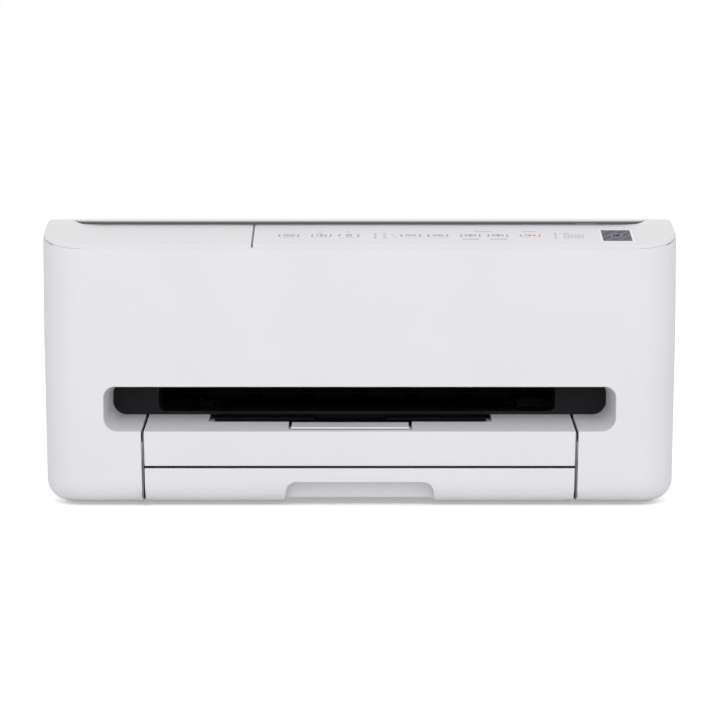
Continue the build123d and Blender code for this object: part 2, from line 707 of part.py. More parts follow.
def cassette_front():
    """Front panel of the cassette with its rolled lower edge and the finger recess."""
    low = FOOT_HEIGHT
    top = CASSETTE_TOP
    narrow = BRIDGE_HALF_WIDTH - BRIDGE_TAPER
    form = block(-narrow, narrow, FRONT, FRONT + BOTTOM_ROUND + 1, low, top)
    form = fillet(lower_front_edge(form), BOTTOM_ROUND)
    hollow = block(-narrow - 1, narrow + 1, FRONT + WALL, FRONT + BOTTOM_ROUND + 2, low + WALL, top + 1)
    panel = form - fillet(lower_front_edge(hollow), BOTTOM_ROUND - WALL)
    panel = fillet(front_edges(panel)[-1], 1)
    taper = [(0.3 - narrow, low - 1), (narrow - 0.3, low - 1), (narrow, top), (-narrow, top)]
    panel &= prism_y(make_face(Polyline(*taper, close=True)), FRONT, FRONT + BOTTOM_ROUND + 1)
    seat = FRONT + CASSETTE_START
    panel += block(-narrow + 1, narrow - 1, FRONT + WALL / 2, seat, top - 4, top - 1.5)
    side = CASSETTE_HALF_WIDTH
    panel += both_sides(side - 2, side + 8, FRONT + WALL / 2, seat, CASSETTE_LIFT + 4, top - 1.5) & form
    side = FINGER_WIDE + 3
    back = FRONT + FINGER_DEPTH
    panel += block(-side, side, FRONT + WALL / 2, back + 1.5, FINGER_LOW, FINGER_TOP + 2) & form
    panel -= block(-FINGER_WIDE, FINGER_WIDE, FRONT - 1, back + 2, low - 1, FINGER_LOW)
    half = [(FINGER_WIDE, low - 1), (FINGER_NARROW, FINGER_TOP)]
    notch = make_face(Polyline(*[(-x, z) for x, z in half], *reversed(half), close=True))
    notch = fillet(notch.vertices().group_by(Axis.Y)[-1], FINGER_ROUND)
    return panel - prism_y(notch, FRONT - 1, back)


def lower_front_edge(box):
    """Lower front edge of a box."""
    return box.edges().filter_by(Axis.X).sort_by(lambda e: e.center().Y + e.center().Z)[0]


def cassette_tray():
    """Open tray for the paper, with slots for the guides and a boss for the pinion."""
    side = CASSETTE_HALF_WIDTH
    wall = CASSETTE_WALL
    front = FRONT + CASSETTE_START
    low = CASSETTE_LIFT
    floor = low + wall
    tray = block(-side, side, front, CASSETTE_REAR, low, CASSETTE_RIM)
    tray = fillet(tray.edges().filter_by(Axis.Z), 3)
    hollow = block(-side + wall, side - wall, front + wall, CASSETTE_REAR - wall, floor, HEIGHT)
    tray -= fillet(hollow.edges().filter_by(Axis.Z), 3 - wall)
    pocket = FINGER_WIDE + 3
    back = FRONT + FINGER_DEPTH + 1.5
    tray -= block(-pocket - FIT / 2, pocket + FIT / 2, front - 1, back, 0, CASSETTE_RIM - 3)
    tray += rod_z(0, GUIDE_Y, PINION_BORE, floor - wall / 2, floor + FIT + RACK + 0.4)
    inner = PAPER_WIDTH / 2 - GUIDE_TRAVEL
    outer = PAPER_WIDTH / 2 + 6
    tray -= both_sides(inner, outer, GUIDE_Y + 32, GUIDE_Y + 35, 0, floor + 1)
    tray -= block(-2, 2, FRONT + 30, FRONT + 145, 0, floor + 1)
    tray -= block(-40, 40, CASSETTE_REAR - 1.5 * wall, CASSETTE_REAR + 1, floor + 5, HEIGHT)
    return tray


def involute(angle):
    """Involute function of an angle in radians."""
    return math.tan(angle) - angle


def gear_face(teeth, module, phase):
    """Spur gear outline with one tooth centred on the phase angle."""
    pitch = teeth * module / 2
    base = pitch * math.cos(math.radians(PRESSURE_ANGLE))
    root = pitch - 1.25 * module
    tip = pitch + module
    half = math.pi / (2 * teeth) - BACKLASH / (2 * pitch) + involute(math.radians(PRESSURE_ANGLE))
    flank = [max(base, root), pitch, tip]
    offsets = [half - involute(math.acos(min(base / r, 1))) for r in flank]
    points = []
    for tooth in range(teeth):
        middle = math.radians(phase) + 2 * math.pi * tooth / teeth
        rising = [(root, -half)] if root < base else []
        rising += [(r, -a) for r, a in zip(flank, offsets)]
        falling = [(r, -a) for r, a in reversed(rising)]
        points += [(r * math.cos(middle + a), r * math.sin(middle + a)) for r, a in rising + falling]
    return make_face(Polyline(*points, close=True))


def gear_x(teeth, phase, y, z, x0, x1):
    """Spur gear on a shaft along X; the phase counts from +Y towards +Z."""
    plane = Plane(origin=(x0, y, z), x_dir=(0, 1, 0), z_dir=(1, 0, 0))
    return extrude(plane * gear_face(teeth, GEAR_MODULE, phase), x1 - x0)


def meshed_phase(teeth, other_teeth, other_phase, direction):
    """Phase of a gear that meshes with another one, seen from the other in a direction."""
    turned = other_phase - direction
    return direction + 180 + 180 / teeth - turned * other_teeth / teeth


def guide_pinion():
    """Small gear that couples the two side guides."""
    floor = CASSETTE_LIFT + CASSETTE_WALL + FIT
    wheel = extrude(Pos(0, GUIDE_Y, floor) * gear_face(PINION_TEETH, PINION_MODULE, 90), RACK)
    return wheel - rod_z(0, GUIDE_Y, PINION_BORE + SHAFT_FIT, 0, HEIGHT)


def rack_bar(side):
    """Toothed bar of the guide on one side: -1 is left, with its bar behind the pinion."""
    pitch_line = PINION_TEETH * PINION_MODULE / 2
    step = math.pi * PINION_MODULE
    lean = math.tan(math.radians(PRESSURE_ANGLE)) * PINION_MODULE
    half = step / 4 - BACKLASH / 2
    root = pitch_line + 1.25 * PINION_MODULE
    tip = pitch_line - PINION_MODULE
    count = int(GUIDE_TRAVEL / step) + 3
    start = -PAPER_WIDTH / 2 - 2
    points = [(start, root + RACK_WIDTH), (start, root)]
    for tooth in range(-count, 2):
        middle = (tooth + 0.5) * step
        points += [(middle - half - 1.25 * lean, root), (middle - half + lean, tip)]
        points += [(middle + half - lean, tip), (middle + half + 1.25 * lean, root)]
    end = 2.5 * step
    points += [(end, root), (end, root + RACK_WIDTH)]
    bar = make_face(Polyline(*points, close=True))
    floor = CASSETTE_LIFT + CASSETTE_WALL + FIT
    turn = 0 if side < 0 else 180
    return extrude(Pos(0, GUIDE_Y, floor) * Rot(0, 0, turn) * bar, RACK)


def paper_guide(side):
    """Upright guide wall with its foot and rack, open where the other guide's rack passes."""
    inner = PAPER_WIDTH / 2 + 2 * FIT
    floor = CASSETTE_LIFT + CASSETTE_WALL + FIT
    half = GUIDE_HALF_LENGTH
    guide = across(side, inner, inner + GUIDE_WALL, GUIDE_Y - half, GUIDE_Y + half, floor, CASSETTE_RIM - 1)
    foot = half - 6
    guide += across(side, inner - 1, inner + GUIDE_FOOT, GUIDE_Y - foot, GUIDE_Y + foot, floor, floor + RACK)
    for y in (GUIDE_Y - 24, GUIDE_Y, GUIDE_Y + 24):
        rib = [(inner + 1, floor), (inner + 10, floor), (inner + 1, CASSETTE_RIM - 3)]
        face = make_face(Polyline(*[(side * x, z) for x, z in rib], close=True))
        guide += prism_y(face, y - 0.8, y + 0.8)
    pitch_line = PINION_TEETH * PINION_MODULE / 2
    near = pitch_line - PINION_MODULE - 2 * FIT
    far = pitch_line + 1.25 * PINION_MODULE + RACK_WIDTH + 2 * FIT
    y0, y1 = sorted((GUIDE_Y + side * near, GUIDE_Y + side * far))
    guide -= across(side, inner - 2, inner + GUIDE_FOOT + 1, y0, y1, floor - 1, floor + RACK + 2 * FIT)
    return guide + rack_bar(side)


def across(side, x0, x1, y0, y1, z0, z1):
    """Box whose X counts outwards on one side: -1 is left and 1 is right."""
    low, high = sorted((side * x0, side * x1))
    return block(low, high, y0, y1, z0, z1)


def length_guide():
    """Stop at the front end of the paper, on a foot in the floor's slot."""
    floor = CASSETTE_LIFT + CASSETTE_WALL + FIT
    front = FRONT + FINGER_DEPTH + 2 + FIT
    guide = block(-30, 30, front, front + 1.6, floor, CASSETTE_RIM - 4)
    guide += block(-14, 14, front, front + 28, floor, floor + 1.2)
    guide += block(-1.7, 1.7, front + 16, front + 26, CASSETTE_LIFT + FIT, floor)
    return guide


def inner_deck():
    """Cover over the print mechanism, open above the carriage, with the ears of the rear hinge."""
    low = DECK_TOP - DECK_PLATE
    deck = extrude(Pos(0, 0, low) * plan(WALL + FIT), DECK_PLATE)
    deck += block(-ACCESS_HALF - 2, ACCESS_HALF + 2, ACCESS_FRONT - 2, ACCESS_REAR + 2, DECK_TOP - 10, DECK_TOP)
    deck -= block(-ACCESS_HALF, ACCESS_HALF, ACCESS_FRONT, ACCESS_REAR, 0, HEIGHT)
    middle = HINGE_Y - ARM_RADIUS
    deck -= block(ARM_X - ARM_PLATE, ARM_X + ARM_PLATE, middle - 13, middle + 12, 0, HEIGHT)
    deck -= rod_x(HINGE_Y, HINGE_Z, HINGE_BEAD + 2, -WIDTH, WIDTH)
    rear = REAR - WALL - FIT
    for x in (-HINGE_X, HINGE_X):
        ear = block(x - EAR / 2, x + EAR / 2, HINGE_Y - 5, rear, DECK_TOP - 12, HINGE_Z)
        ear += rod_x(HINGE_Y, HINGE_Z, 5, x - EAR / 2, x + EAR / 2)
        ear += block(x - EAR / 2, x + EAR / 2, HINGE_Y - 18, rear, DECK_TOP - 12, DECK_TOP - 6)
        ear += block(x - EAR / 2, x + EAR / 2, HINGE_Y - 18, HINGE_Y - 10, DECK_TOP - 12, DECK_TOP)
        deck += ear - rod_x(HINGE_Y, HINGE_Z, HINGE_PIN, x - EAR, x + EAR)
    return deck


def hinge_pins():
    """Two steel pins of the scanner unit's hinge."""
    half = HINGE_PIN_HALF
    return Compound(children=[rod_x(HINGE_Y, HINGE_Z, HINGE_PIN, x - half, x + half) for x in (-HINGE_X, HINGE_X)])


def chassis_frame():
    """Folded sheet-metal frame: two side plates, their feet, and the rear wall behind the carriage."""
    front, rear, low, top = CHASSIS_FRONT, CHASSIS_REAR, CHASSIS_BOTTOM, PLATE_TOP
    shoulder = min(CHASSIS_SHOULDER, top - 10)
    points = [(front, low), (rear, low), (rear, top), (FEED_Y, top), (FEED_Y - 20, shoulder), (front, shoulder)]
    outline = make_face(Polyline(*points, close=True))
    outline = fillet(outline.vertices(), 2 * PLATE)
    frame = prism_face(outline, -PLATE_X, PLATE - PLATE_X) + prism_face(outline, PLATE_X - PLATE, PLATE_X)
    sheet = TURN_Z + TURN_INNER + TURN_GAP + TURN_PLATE
    wall = CHASSIS_WALL
    frame += block(-PLATE_X, PLATE_X, wall, wall + PLATE, sheet, top)
    frame += block(-PLATE_X, PLATE_X, wall - 12, wall + PLATE, top - PLATE, top)
    for y, z, radius in ((ROD_Y, ROD_Z, ROD_RADIUS), (FEED_Y, ROLLER_Z, SHAFT_RADIUS + SHAFT_FIT),
                         (EXIT_Y, ROLLER_Z, SHAFT_RADIUS + SHAFT_FIT), (DRIVE_Y, DRIVE_Z, MOTOR_BOSS)):
        frame -= rod_x(y, z, radius, -WIDTH, WIDTH)
    for x in range(-140, 141, 70):
        frame -= rod_y(x, top - 24, 9, wall - 2, wall + 3)
    inner = PLATE_X - 14
    for y in (front, rear - 12):
        frame += both_sides(inner, PLATE_X - PLATE, y, y + 12, low, low + PLATE)
        frame += [rod_z(x, y + 6, 3, BASE_TOP, low) for x in (-inner - 6, inner + 6)]
    return frame


def carriage_rod():
    """Ground steel rod that guides the carriage."""
    return rod_x(ROD_Y, ROD_Z, ROD_RADIUS, -PLATE_X - 3, PLATE_X + 3)


def platen():
    """Ribbed support under the print head."""
    front = EXIT_Y + EXIT_RADIUS + 2
    rear = FEED_Y - FEED_RADIUS - 2
    body = block(-ROLLER_HALF_LENGTH, ROLLER_HALF_LENGTH, front, rear, ROLLER_Z - 6, ROLLER_Z)
    body -= block(-ROLLER_HALF_LENGTH + 3, ROLLER_HALF_LENGTH - 3, front + 3, rear - 3, ROLLER_Z - 3, ROLLER_Z + 1)
    for x in range(-100, 101, 20):
        body += block(x - 0.8, x + 0.8, front + 1, rear - 1, ROLLER_Z - 4, ROLLER_Z + 2)
    legs = both_sides(ROLLER_HALF_LENGTH, PLATE_X - PLATE, rear - 7, rear - 1, ROLLER_Z - 6, ROLLER_Z - 3)
    return body + legs


def spur_wheel_bar():
    """Bar over the exit roller with thin spur wheels."""
    height = ROLLER_Z + EXIT_RADIUS + 4.4
    bar = block(-ROLLER_HALF_LENGTH, ROLLER_HALF_LENGTH, EXIT_Y - 3, EXIT_Y + 3, height + 1, height + 4)
    bar += both_sides(ROLLER_HALF_LENGTH, PLATE_X - PLATE, EXIT_Y - 2, EXIT_Y + 2, height + 1, height + 4)
    for x in range(-100, 101, 40):
        bar += rod_x(EXIT_Y, height, 4, x - 0.6, x + 0.6)
    return bar


def roller(y, radius, segments, phase):
    """Driven shaft with rubber sleeves and a gear at its left end."""
    shaft = rod_x(y, ROLLER_Z, SHAFT_RADIUS, GEAR_X - 2.5, PLATE_X + 3)
    step = 2 * ROLLER_HALF_LENGTH / segments
    for index in range(segments):
        start = -ROLLER_HALF_LENGTH + index * step + 0.15 * step
        shaft += rod_x(y, ROLLER_Z, radius, start, start + 0.7 * step)
    return shaft + gear_x(ROLLER_TEETH, phase, y, ROLLER_Z, GEAR_X, GEAR_X + GEAR_WIDTH)


def drive_gear():
    """Gear between the two rollers, on the motor's shaft."""
    wheel = gear_x(DRIVE_TEETH, 0, DRIVE_Y, DRIVE_Z, GEAR_X, GEAR_X + GEAR_WIDTH)
    return wheel - rod_x(DRIVE_Y, DRIVE_Z, MOTOR_SHAFT + SHAFT_FIT, GEAR_X - 1, GEAR_X + GEAR_WIDTH + 1)


def feed_motor():
    """Motor of the rollers, bolted inside the left side plate."""
    inner = -PLATE_X + PLATE
    motor = rod_x(DRIVE_Y, DRIVE_Z, 14, inner, inner + 24)
    motor += rod_x(DRIVE_Y, DRIVE_Z, MOTOR_BOSS - 0.5, -PLATE_X - GEAR_GAP / 2, inner)
    motor += rod_x(DRIVE_Y, DRIVE_Z, MOTOR_SHAFT, GEAR_X, inner)
    return motor + rod_x(DRIVE_Y, DRIVE_Z, MOTOR_BOSS, inner + 24, inner + 26)


def carriage_motor():
    """Motor of the carriage belt with its pulley, and the idle pulley at the other end."""
    top = PLATE_TOP - MOTOR_GAP
    low = BELT_Z + 6
    pulley = PULLEY_RADIUS - SHAFT_FIT
    motor = rod_z(PULLEY_X, BELT_Y, MOTOR_RADIUS, low, top)
    motor += rod_z(PULLEY_X, BELT_Y, pulley, BELT_Z - 3.5, low)
    motor += block(PULLEY_X - 6, PULLEY_X + 6, BELT_Y + 6, CHASSIS_WALL, low, top - 2)
    idler = rod_z(-PULLEY_X, BELT_Y, pulley, BELT_Z - 3.5, low)
    idler += block(-PULLEY_X - 6, -PULLEY_X + 6, BELT_Y - 5, CHASSIS_WALL, low, low + 3)
    return Compound(children=[motor, idler])


def belt(y, z, half_length, radius, height):
    """Closed belt round two pulleys."""
    outer = SlotCenterToCenter(2 * half_length, 2 * (radius + 1))
    inner = SlotCenterToCenter(2 * half_length, 2 * radius)
    return extrude(Pos(0, y, z - height / 2) * (outer - inner), height)


def encoder_strip():
    """Thin graduated strip stretched in front of the frame's rear wall."""
    side = PULLEY_X - 13
    wall = CHASSIS_WALL
    strip = block(-side, side, wall - 1.4, wall - 1, PLATE_TOP - 20, PLATE_TOP - 14)
    return strip + both_sides(side - 10, side, wall - 2, wall, PLATE_TOP - 22, PLATE_TOP - 12)


def print_carriage():
    """Carriage with two bays for ink cartridges and a sleeve on the rod."""
    half = CARRIAGE_HALF_WIDTH
    x = CARRIAGE_REST
    front, back, low, top = CARRIAGE_FRONT, CARRIAGE_BACK, CARRIAGE_BOTTOM, CARRIAGE_TOP
    body = block(x - half, x + half, front, back, low, top)
    body = fillet(body.edges().filter_by(Axis.Z).sort_by(Axis.Y)[0:2], 2)
    for middle in bay_places():
        side = half / 2 - BAY_WALL
        body -= block(middle - side, middle + side, front + 3, back - 6, low + 3, HEIGHT)
        body -= block(middle - 6, middle + 6, front + 12, front + 40, low - 2, low + 4)
    body -= block(x - half - 1, x + half + 1, front - 2, front + 8, top - 20, HEIGHT)
    body += block(x - half, x + half, back, back + 6, ROD_Z - 10, ROD_Z + 12)
    body += rod_x(ROD_Y, ROD_Z, ROD_RADIUS + 3, x - half, x + half)
    clamp = BELT_Y - PULLEY_RADIUS
    body += block(x - 10, x + 10, back - 2, clamp - 1.6, BELT_Z - 4, BELT_Z + 8)
    body += block(x - 10, x + 10, back + 2, clamp + 1, BELT_Z + 4, BELT_Z + 8)
    return body - rod_x(ROD_Y, ROD_Z, ROD_RADIUS + SHAFT_FIT, x - half - 1, x + half + 1)


def bay_places():
    """Middles of the two bays of the parked carriage."""
    return [CARRIAGE_REST - CARRIAGE_HALF_WIDTH / 2, CARRIAGE_REST + CARRIAGE_HALF_WIDTH / 2]


def ink_cartridges():
    """Two cartridges in their bays, each with its nozzle plate below and a latch tab on top."""
    pieces = []
    front, low, top = CARRIAGE_FRONT + 3, CARRIAGE_BOTTOM + 3, CARRIAGE_TOP - 3
    side = CARRIAGE_HALF_WIDTH / 2 - BAY_WALL - FIT
    for middle in bay_places():
        tank = block(middle - side, middle + side, front + FIT, CARRIAGE_BACK - 6 - FIT, low, top)
        tank = fillet(tank.edges().filter_by(Axis.Z), 1.5)
        tank += block(middle - 5.7, middle + 5.7, front + 9 + FIT, front + 37 - FIT, low - 4, low)
        pieces.append(tank + block(middle - 6, middle + 6, front + 5, front + 15, top, top + 4))
    return Compound(children=pieces)


def purge_unit():
    """Capping station with two soft caps and a wiper, under the parked carriage."""
    x = CARRIAGE_REST
    top = ROLLER_Z - 6.3
    lip = CARRIAGE_BOTTOM - 4
    y = EXIT_Y + 12
    body = block(x - PURGE_LEFT, x + PURGE_RIGHT, y, y + 38, PURGE_Z, top)
    leg = CASSETTE_HALF_WIDTH + 9
    for start in (y + 4, y + 30):
        body += block(leg, leg + 16, start, start + 4, BASE_TOP, PURGE_Z)
    for middle in bay_places():
        body += block(middle - 8, middle + 8, y + 6, y + 30, top, lip)
        body -= block(middle - 6, middle + 6, y + 8, y + 28, lip - 3, lip + 1)
    return body + block(x - PURGE_LEFT, x - PURGE_LEFT + 1.5, y + 4, y + 28, top, lip + 1)


def pickup_roller():
    """Rubber roller that takes the top sheet, on a short shaft."""
    wheel = rod_x(PICKUP_Y, PICKUP_Z, PICKUP_RADIUS, -11, 11)
    return wheel + rod_x(PICKUP_Y, PICKUP_Z, 2.5, -17, 17)


def pickup_arm():
    """Arm that holds the pickup roller, hung under the inner wall of the turn guide."""
    top = TURN_Z + TURN_INNER
    outline = [(PICKUP_Y - 2, top), (PICKUP_Y + 14, top), (PICKUP_Y + 12, top - 8), (PICKUP_Y + 5, PICKUP_Z + 2),
               (PICKUP_Y + 3, PICKUP_Z - 4), (PICKUP_Y - 3, PICKUP_Z - 4), (PICKUP_Y - 6, PICKUP_Z + 3)]
    cheek = fillet(make_face(Polyline(*outline, close=True)).vertices(), 1.5)
    arm = prism_face(cheek, -15.5, -12.5) + prism_face(cheek, 12.5, 15.5)
    arm += block(-15.5, 15.5, PICKUP_Y, PICKUP_Y + 12, top - 3, top)
    return arm - rod_x(PICKUP_Y, PICKUP_Z, 2.5 + SHAFT_FIT, -20, 20)


def paper_turn_guide():
    """Curved guide that turns the sheet from the cassette up to the feed roller."""
    far = TURN_INNER + TURN_GAP
    outer = ring_sector(TURN_Y, TURN_Z, far, far + TURN_PLATE, -62, 90)
    inner = ring_sector(TURN_Y, TURN_Z, TURN_INNER, TURN_INNER + 1.6, -48, 90)
    side = PAPER_WIDTH / 2 + 2
    guide = prism_face(outer, -side, side) + prism_face(inner, -side, side)
    cheek = ring_sector(TURN_Y, TURN_Z, TURN_INNER, far + TURN_PLATE, -48, 90)
    guide += prism_face(cheek, side, side + 2) + prism_face(cheek, -side - 2, -side)
    guide += block(-side, side, FEED_Y + 2 * FEED_RADIUS, TURN_Y, TURN_Z + far, TURN_Z + far + TURN_PLATE)
    guide += block(-side, side, PICKUP_Y - 2, TURN_Y, TURN_Z + TURN_INNER, TURN_Z + TURN_INNER + 1.6)
    top = TURN_Z + far + TURN_PLATE
    return guide + both_sides(side, side + 2, PICKUP_Y - 2, TURN_Y, TURN_Z + TURN_INNER, top)


def ring_sector(y, z, inner, outer, first, last):
    """Sector of a ring in Y and Z, between two angles counted from +Y towards +Z."""
    start, stop = math.radians(first), math.radians(last)
    middle = (start + stop) / 2

    def at(radius, angle):
        return (y + radius * math.cos(angle), z + radius * math.sin(angle))
    edges = [
        ThreePointArc(at(outer, start), at(outer, middle), at(outer, stop)), Line(at(outer, stop), at(inner, stop)),
        ThreePointArc(at(inner, stop), at(inner, middle), at(inner, start)), Line(at(inner, start), at(outer, start))]
    return make_face(edges)


def prism_face(face, x0, x1):
    """Face in Y and Z, pushed from x0 to x1."""
    plane = Plane(origin=(x0, 0, 0), x_dir=(0, 1, 0), z_dir=(1, 0, 0))
    return extrude(plane * face, x1 - x0)


def main_board():
    """Upright circuit board beside the cassette, with the data port and two connectors."""
    board = block(BOARD_X - BOARD, BOARD_X, CHASSIS_REAR + 4, REAR - RIM_FLANGE - FIT, BASE_TOP, 90)
    half = PORT_WIDTH / 2
    tall = PORT_HEIGHT / 2
    wall = PORT_WALL
    port = block(BOARD_X, PORT_X + half + wall, REAR - 20, REAR - 1, PORT_Z - tall - wall, PORT_Z + tall + wall)
    port -= block(PORT_X - half, PORT_X + half, REAR - 12, REAR, PORT_Z - tall, PORT_Z + tall)
    board += port + block(PORT_X - 2.8, PORT_X + 2.8, REAR - 12, REAR - 3, PORT_Z - 1.5, PORT_Z + 1.5)
    start = CHASSIS_REAR + 14
    for z in (60, 74):
        board += block(BOARD_X, BOARD_X + 4, start, start + 16, z - 5, z + 5)
    return board


def power_supply():
    """Closed supply with a recessed two-pin inlet."""
    rear = REAR - RIM_FLANGE - FIT
    box = block(-SUPPLY_OUTER, -SUPPLY_INNER, rear - SUPPLY_LENGTH, rear, BASE_TOP, INLET_Z + 28)
    box = fillet(box.edges().filter_by(Axis.Z), 2)
    half = INLET_WIDTH / 2
    tall = INLET_HEIGHT / 2
    neck = block(INLET_X - half, INLET_X + half, rear - 1, REAR - 0.5, INLET_Z - tall, INLET_Z + tall)
    mouth = prism_y(Pos(INLET_X, INLET_Z) * SlotOverall(INLET_WIDTH - 4, INLET_HEIGHT - 5), REAR - 13, REAR)
    pins = [rod_y(INLET_X + x, INLET_Z, 1.2, REAR - 14, REAR - 4) for x in (-4.3, 4.3)]
    return box + neck - mouth + pins


def screw_places():
    """Places of the screws in the bottom plate."""
    return [(side * SCREW_X, y) for side in (-1, 1) for y in (FRONT + SCREW_INSET, SCREW_Y, REAR - SCREW_INSET)]


def case_screws():
    """Screws that hold the bottom plate, sunk in the underside."""
    screws = []
    for x, y in screw_places():
        screw = rod_z(x, y, 3.2, FOOT_HEIGHT + 0.2, FOOT_HEIGHT + 1.4)
        screw += rod_z(x, y, 1.35, FOOT_HEIGHT + 1.4, FOOT_HEIGHT + 7)
        screw -= block(x - 1.8, x + 1.8, y - 0.4, y + 0.4, 0, FOOT_HEIGHT + 0.8)
        screws.append(screw - block(x - 0.4, x + 0.4, y - 1.8, y + 1.8, 0, FOOT_HEIGHT + 0.8))
    return Compound(children=screws)


def lid_plan(grow):
    """Outline of the document cover, grown by grow."""
    side = LID_HALF_WIDTH + grow
    rear = max(LID_REAR_CORNER + grow, 1)
    return rounded(-side, side, LID_FRONT - grow, LID_REAR + grow, LID_CORNER + grow, rear)


def scanner_housing(body):
    """Top of the scanner unit: rim, recess of the cover, bed of the glass, skirt and strip shelf."""
    housing = body & upper_zone()
    housing -= above_strip(STRIP_PLATE, FRONT + STRIP_DEPTH)
    inset = WALL + SKIRT_GAP
    inner = inset + SKIRT
    low = PAN_BOTTOM + PAN_PLATE
    rear = REAR_STEP + 2 * WALL
    core = extrude(Pos(0, 0, low) * plan(inset), HEIGHT - low) & block(-HALF, HALF, FRONT, rear, 0, HEIGHT)
    core -= above_strip(STRIP_PLATE, FRONT + STRIP_DEPTH)
    core -= block(-HALF, HALF, FRONT + STRIP_DEPTH, REAR, BED_HEIGHT, 2 * HEIGHT)
    hollow = extrude(plan(inner), BED_HEIGHT - BED_PLATE)
    shelf = -board_top() / math.cos(math.radians(SLOPE_ANGLE))
    hollow -= above_strip(shelf, FRONT + STRIP_DEPTH + SKIRT)
    rear_hollow = extrude(plan(inner - SKIRT), TROUGH_FLOOR - 2)
    housing += core
    housing -= hollow & block(-HALF, HALF, FRONT, REAR_STEP, 0, HEIGHT)
    housing -= rear_hollow & block(-HALF, HALF, rear - WALL, REAR, 0, HEIGHT)
    housing -= block(inner - HALF, HALF - inner, REAR_STEP - 1, rear, 0, low)
    bead = HALF - REAR_CORNER
    housing += rod_x(HINGE_Y, HINGE_Z, HINGE_BEAD, -bead, bead)
    housing -= lid_recess()
    return housing - strip_window() - housing_bores()


def lid_recess():
    """Space for the document cover, its hinge and the glass."""
    cut = extrude(Pos(0, 0, RECESS_FLOOR) * lid_plan(LID_GAP), HEIGHT)
    side = LID_HALF_WIDTH + LID_GAP
    cut += block(-side, side, LID_AXIS_Y, TROUGH_REAR, RECESS_FLOOR, 2 * HEIGHT)
    cut += extrude(Pos(0, 0, BED_HEIGHT) * lid_plan(-BED_INSET), HEIGHT)
    trough = block(-side, side, LID_AXIS_Y - 2, TROUGH_REAR, TROUGH_FLOOR, HEIGHT)
    inner = LID_BARREL_HALF + 0.5
    outer = inner + LID_EAR
    rear = LID_AXIS_Y + LID_BARREL
    for x in (-LID_HINGE_X, LID_HINGE_X):
        trough += block(x - outer, x + outer, LID_AXIS_Y - 5, TROUGH_REAR, TROUGH_FLOOR, HEIGHT)
        for x0, x1 in ((x - outer, x - inner), (x + inner, x + outer)):
            trough -= rod_x(LID_AXIS_Y, LID_AXIS_Z, LID_BARREL, x0, x1)
            trough -= block(x0, x1, LID_AXIS_Y - 5, rear, TROUGH_FLOOR, LID_AXIS_Z)
    half = WINDOW_WIDTH / 2
    deep = WINDOW_DEPTH / 2
    x, y = WINDOW_X, WINDOW_Y
    window = block(x - half, x + half, y - deep, y + deep, BED_HEIGHT - 2 * WALL, HEIGHT)
    edge = GLASS_EDGE + FIT
    seat = block(x - half - edge, x + half + edge, y - deep - edge, y + deep + edge, BED_HEIGHT - 2 * WALL, GLASS_TOP)
    return cut + trough + window + seat


def strip_window():
    """Opening in the strip's shelf for the keys and the lights."""
    ends = (KEY_CENTRES[0] - KEY_LENGTH, LIGHT_COLUMNS[-1] + 4)
    length = ends[1] - ends[0]
    face = Pos((ends[0] + ends[1]) / 2, 0) * Rectangle(length, 2 * KEY_WIDTH)
    return extrude(PANEL.offset(-12) * face, 20)


PANEL = Plane(
    origin=(0, FRONT + KEY_DISTANCE, strip_height(FRONT + KEY_DISTANCE)), x_dir=(1, 0, 0),
    z_dir=(0, -math.sin(math.radians(SLOPE_ANGLE)), math.cos(math.radians(SLOPE_ANGLE))))
PLATE_NORMAL = STRIP_PLATE * math.cos(math.radians(SLOPE_ANGLE))


def housing_bores():
    """Pin bores and ear slots of the two hinges."""
    bores = []
    for x in (-HINGE_X, HINGE_X):
        bores.append(rod_x(HINGE_Y, HINGE_Z, HINGE_PIN + SHAFT_FIT, x - HINGE_PIN_HALF, x + HINGE_PIN_HALF))
        half = EAR / 2 + FIT
        bores.append(block(x - half, x + half, REAR_STEP, REAR + 1, HINGE_Z - 8, HINGE_Z + 8))
    for x in (-LID_HINGE_X, LID_HINGE_X):
        bores.append(rod_x(LID_AXIS_Y, LID_AXIS_Z, LID_PIN + SHAFT_FIT, x - LID_PIN_HALF, x + LID_PIN_HALF))
    return bores


def scanner_pan():
    """Floor of the scanner unit with a rail for the scan bar and posts for its rod."""
    inset = WALL + SKIRT_GAP
    pan = extrude(Pos(0, 0, PAN_BOTTOM) * plan(inset), PAN_PLATE) & block(-HALF, HALF, FRONT, REAR_STEP, 0, HEIGHT)
    side = HALF - inset - SKIRT - FIT
    pan += block(-side, side, REAR_STEP - 1, HINGE_Y - HINGE_BEAD - 1, PAN_BOTTOM, PAN_BOTTOM + PAN_PLATE)
    floor = PAN_BOTTOM + PAN_PLATE
    end = SCAN_POST_X - SCAN_POST
    pan += block(-end, end, WINDOW_Y + 70, WINDOW_Y + 74, floor, SCAN_RAIL)
    pan += both_sides(end, SCAN_POST_X, SCAN_ROD_Y - 6, SCAN_ROD_Y + 6, floor, SCAN_ROD_Z + 5)
    pan -= rod_x(SCAN_ROD_Y, SCAN_ROD_Z, SCAN_ROD_RADIUS, -SCAN_POST_X - 1, SCAN_POST_X + 1)
    ledge = GLASS_TOP - GLASS
    half = WINDOW_WIDTH / 2 + GLASS_EDGE
    deep = WINDOW_DEPTH / 2 + GLASS_EDGE
    for y in (WINDOW_Y - deep, WINDOW_Y + deep - 3):
        pan += block(WINDOW_X - half + 6, WINDOW_X + half - 6, y, y + 3, floor, ledge)
    return pan


def platen_glass():
    """Flat glass under the cover."""
    half = WINDOW_WIDTH / 2 + GLASS_EDGE
    deep = WINDOW_DEPTH / 2 + GLASS_EDGE
    return block(WINDOW_X - half, WINDOW_X + half, WINDOW_Y - deep, WINDOW_Y + deep, GLASS_TOP - GLASS, GLASS_TOP)


